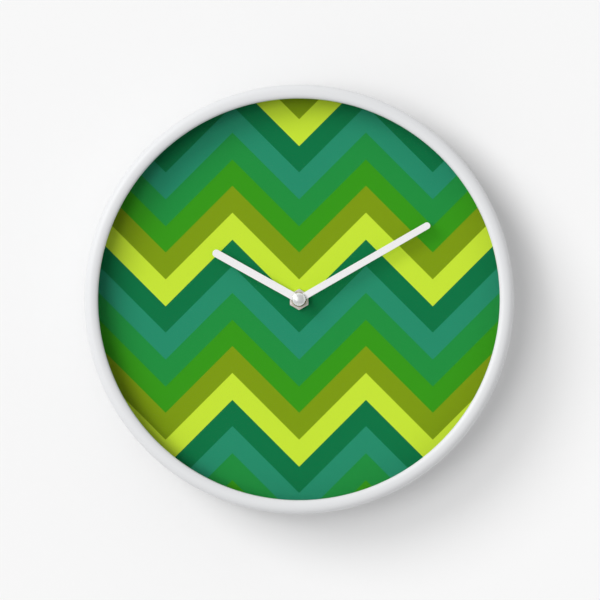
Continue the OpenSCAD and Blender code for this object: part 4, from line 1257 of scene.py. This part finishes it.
@dataclass
class Studio:
    """Pale wall and floor, soft light from the upper left and the camera."""

    image_px: float = 600.0
    mm_per_px: float = 0.5893
    view_plane: float = 33.0
    distance: float = 3.0
    centre_px: tuple[float, float] = (298.9, 299.3)
    view_right: float = 0.8
    view_below: float = 0.8
    wall_colour: float = 0.94
    ambient: float = 0.48
    near_share: float = 0.25
    near_turn: float = 172.0
    near_tilt: float = 23.0
    near_angle: float = 28.0
    side_share: float = 0.27
    side_turn: float = 146.0
    side_tilt: float = 50.0
    side_angle: float = 30.0
    # Painted shade on the wall beside the frame's lit side, to cancel the light that the lit frame throws back
    # at it.
    bounce_turn: float = 157.0
    bounce_from: float = 97.0
    bounce: float = 12.7
    bounce_r: float = 120.0
    bounce_gain: float = 1.2
    card_grey: float = 0.30
    card_half: float = 0.8
    card_y: float = -0.8
    rear_from: tuple[float, float, float] = (-0.15, 1.0, 0.28)
    rear_strength: float = 1.3
    rear_angle: float = 50.0
    wall_half: float = 1.6
    floor_half: float = 3.0
    wall_y: float = 0.0006
    opening_r: float = 129.0
    floor_z: float = -0.7

    def build(self) -> None:
        """Sets the stage, the lights and the camera."""
        bpy.context.scene.view_settings.view_transform = "Standard"
        self.camera()
        self.world()
        self.wall()
        self.floor()
        self.card()
        near, side = self.source(self.near_turn, self.near_tilt), self.source(self.side_turn, self.side_tilt)
        self.lamp("near_key", near, self.level(near, self.near_share), self.near_angle)
        self.lamp("side_key", side, self.level(side, self.side_share), self.side_angle)
        self.lamp("rear_fill", self.rear_from, self.rear_strength, self.rear_angle)

    @staticmethod
    def source(turn: float, tilt: float) -> Vector:
        """Returns the direction of a light from its turn on the wall and its tilt off the view, in degrees."""
        out = math.sin(math.radians(tilt))
        side, up = math.cos(math.radians(turn)), math.sin(math.radians(turn))
        return Vector((out * side, -math.cos(math.radians(tilt)), out * up))

    @staticmethod
    def level(source: Vector, share: float) -> float:
        """Returns the strength at which a lamp gives the wall this share of its colour."""
        return share * math.pi / -source.y

    def camera(self) -> None:
        """Places a long lens in front of the dial, a touch to the right and below."""
        half_width = self.image_px * self.mm_per_px * MM / 2
        lens = bpy.data.cameras.new("front")
        lens.sensor_width = 36.0
        lens.lens = self.distance * lens.sensor_width / 2 / half_width
        lens.clip_end = 50.0
        viewer = placed("front", lens)
        aside, below = math.radians(self.view_right), math.radians(self.view_below)
        back = Vector((math.tan(aside), -1.0, -math.tan(below))).normalized()
        turn = back.to_track_quat("Z", "Y")
        middle = self.image_px / 2
        right = (middle - self.centre_px[0]) * self.mm_per_px * MM
        up = (self.centre_px[1] - middle) * self.mm_per_px * MM
        eye = upright(0.0, 0.0, self.view_plane) + back * self.distance
        viewer.location = eye + turn @ Vector((right, up, 0.0))
        viewer.rotation_euler = turn.to_euler()
        bpy.context.scene.camera = viewer

    def world(self) -> None:
        """Makes an even light that the lens and metal see as pale."""
        world = bpy.data.worlds.new("studio")
        bench = Bench.cleared(world)
        path = bench.add("ShaderNodeLightPath", output="Is Camera Ray")
        seen = path + path.port("Is Glossy Ray") + path.port("Is Transmission Ray")
        seen = bench.add("ShaderNodeClamp", {"Value": seen})
        pale = (self.wall_colour,) * 3 + (1.0,)
        light = bench.add("ShaderNodeBackground", {"Color": (1.0, 1.0, 1.0, 1.0), "Strength": self.ambient})
        shown = bench.add("ShaderNodeBackground", {"Color": pale, "Strength": 1.0})
        mixed = bench.add("ShaderNodeMixShader", {0: seen, 1: light, 2: shown})
        bench.add("ShaderNodeOutputWorld", {"Surface": mixed})
        bpy.context.scene.world = world

    @staticmethod
    def sheet(
        name: str, corner: Sequence[float], right: Sequence[float], up: Sequence[float], paint: Painter
    ) -> Piece:
        """Makes a flat stage piece.

        Args:
            name: Its name.
            corner: Its lower left corner, seen from its front.
            right: Its lower edge, from that corner.
            up: Its left edge, from that corner.
            paint: What builds its surface in a material's tree.

        Returns:
            The stage piece.
        """
        first, across, rise = Vector(corner), Vector(right), Vector(up)
        corners = [first, first + across, first + across + rise, first + rise]
        mesh = bpy.data.meshes.new(name)
        mesh.from_pydata(corners, [], [(0, 1, 2, 3)])
        material = bpy.data.materials.new(name)
        bench = Bench.cleared(material)
        bench.add("ShaderNodeOutputMaterial", {"Surface": paint(bench)})
        mesh.materials.append(material)
        piece = placed(name, mesh)
        return piece

    def wall_paint(self, bench: Bench) -> Wire:
        """Returns a pale wall with painted shade beside the frame's lit side, which cancels the light that the
        lit frame throws back at it.

        It is clear from behind, and light passes it behind the clock, so that the clock's back is lit.
        """
        across = bench.axes()
        flat = bench.add("ShaderNodeCombineXYZ", {0: across, 2: across.port("Z")})
        length = bench.length(flat)
        radius = bench.maths("MAXIMUM", length, self.bounce_r * MM)
        # Painted shade: the wall is darkened near the frame, most on its lit side, to cancel the light that
        # the lit frame throws back at it.
        source, gain = self.source(self.bounce_turn, 90.0), self.bounce_gain
        facing = gain + gain * (source.x * across + source.z * across.port("Z")) / radius
        facing = bench.add("ShaderNodeClamp", {"Value": facing})
        nearness = self.bounce * MM / (radius - self.bounce_from * MM)
        painted_shade = nearness * nearness * facing
        level = self.wall_colour / (1 + painted_shade)
        colour = bench.add("ShaderNodeCombineColor", {0: level, 1: level, 2: level})
        front = bench.add("ShaderNodeBsdfDiffuse", {"Color": colour})
        back = bench.add("ShaderNodeNewGeometry", output="Backfacing")
        seen = bench.add("ShaderNodeLightPath", output="Is Camera Ray")
        opening = (1 - seen) * (self.opening_r * MM > radius)
        through = bench.add("ShaderNodeBsdfTransparent")
        return bench.add("ShaderNodeMixShader", {0: back + opening, 1: front, 2: through})

    def floor_paint(self, bench: Bench) -> Wire:
        """Returns a plain pale floor."""
        return bench.add("ShaderNodeBsdfDiffuse", {"Color": (self.wall_colour,) * 3 + (1.0,)})

    def card_paint(self, bench: Bench) -> Wire:
        """Returns an even grey that needs no light."""
        return bench.add("ShaderNodeEmission", {"Color": (self.card_grey,) * 3 + (1.0,)})

    def wall(self) -> None:
        """Hangs the pale wall just behind the clock."""
        side, y = self.wall_half, self.wall_y
        corner, up = (-side, y, self.floor_z), (0.0, 0.0, side - self.floor_z)
        self.sheet("studio_wall", corner, (2 * side, 0.0, 0.0), up, self.wall_paint)

    def card(self) -> None:
        """Hangs a grey card in front that only glossy surfaces see."""
        side, y = self.card_half, self.card_y
        right, up = (-2 * side, 0.0, 0.0), (0.0, 0.0, 2 * side)
        piece = self.sheet("studio_card", (side, y, -side), right, up, self.card_paint)
        for kind in ("camera", "diffuse", "transmission", "volume_scatter", "shadow"):
            setattr(piece, "visible_" + kind, False)

    def floor(self) -> None:
        """Lays the pale floor well below the clock."""
        side = self.floor_half
        right, up = (2 * side, 0.0, 0.0), (0.0, 2 * side, 0.0)
        laid = self.sheet("studio_floor", (-side, -side, self.floor_z), right, up, self.floor_paint)
        laid.visible_diffuse = laid.visible_shadow = False

    def lamp(self, name: str, source: Sequence[float], strength: float, angle: float) -> None:
        """Adds a soft distant lamp.

        Args:
            name: Its name.
            source: The direction that it shines from.
            strength: Its strength.
            angle: How wide it looks, in degrees.
        """
        light = bpy.data.lights.new(name, "SUN")
        light.energy = strength
        light.angle = math.radians(angle)
        holder = placed(name, light)
        holder.rotation_euler = Vector(source).to_track_quat("Z", "Y").to_euler()


def main() -> None:
    """Builds the studio and every sub-assembly."""
    logging.basicConfig(level=logging.INFO, format="%(name)s: %(message)s")
    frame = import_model()
    Studio().build()
    paints = Paints()
    for kind in (FrameCase, HubFixing, HandSet, Movement, WheelTrain, MotorAndCircuit, BatteryCell):
        kind(paints, frame["nodes"]).build()


if __name__ == "__main__":
    main()
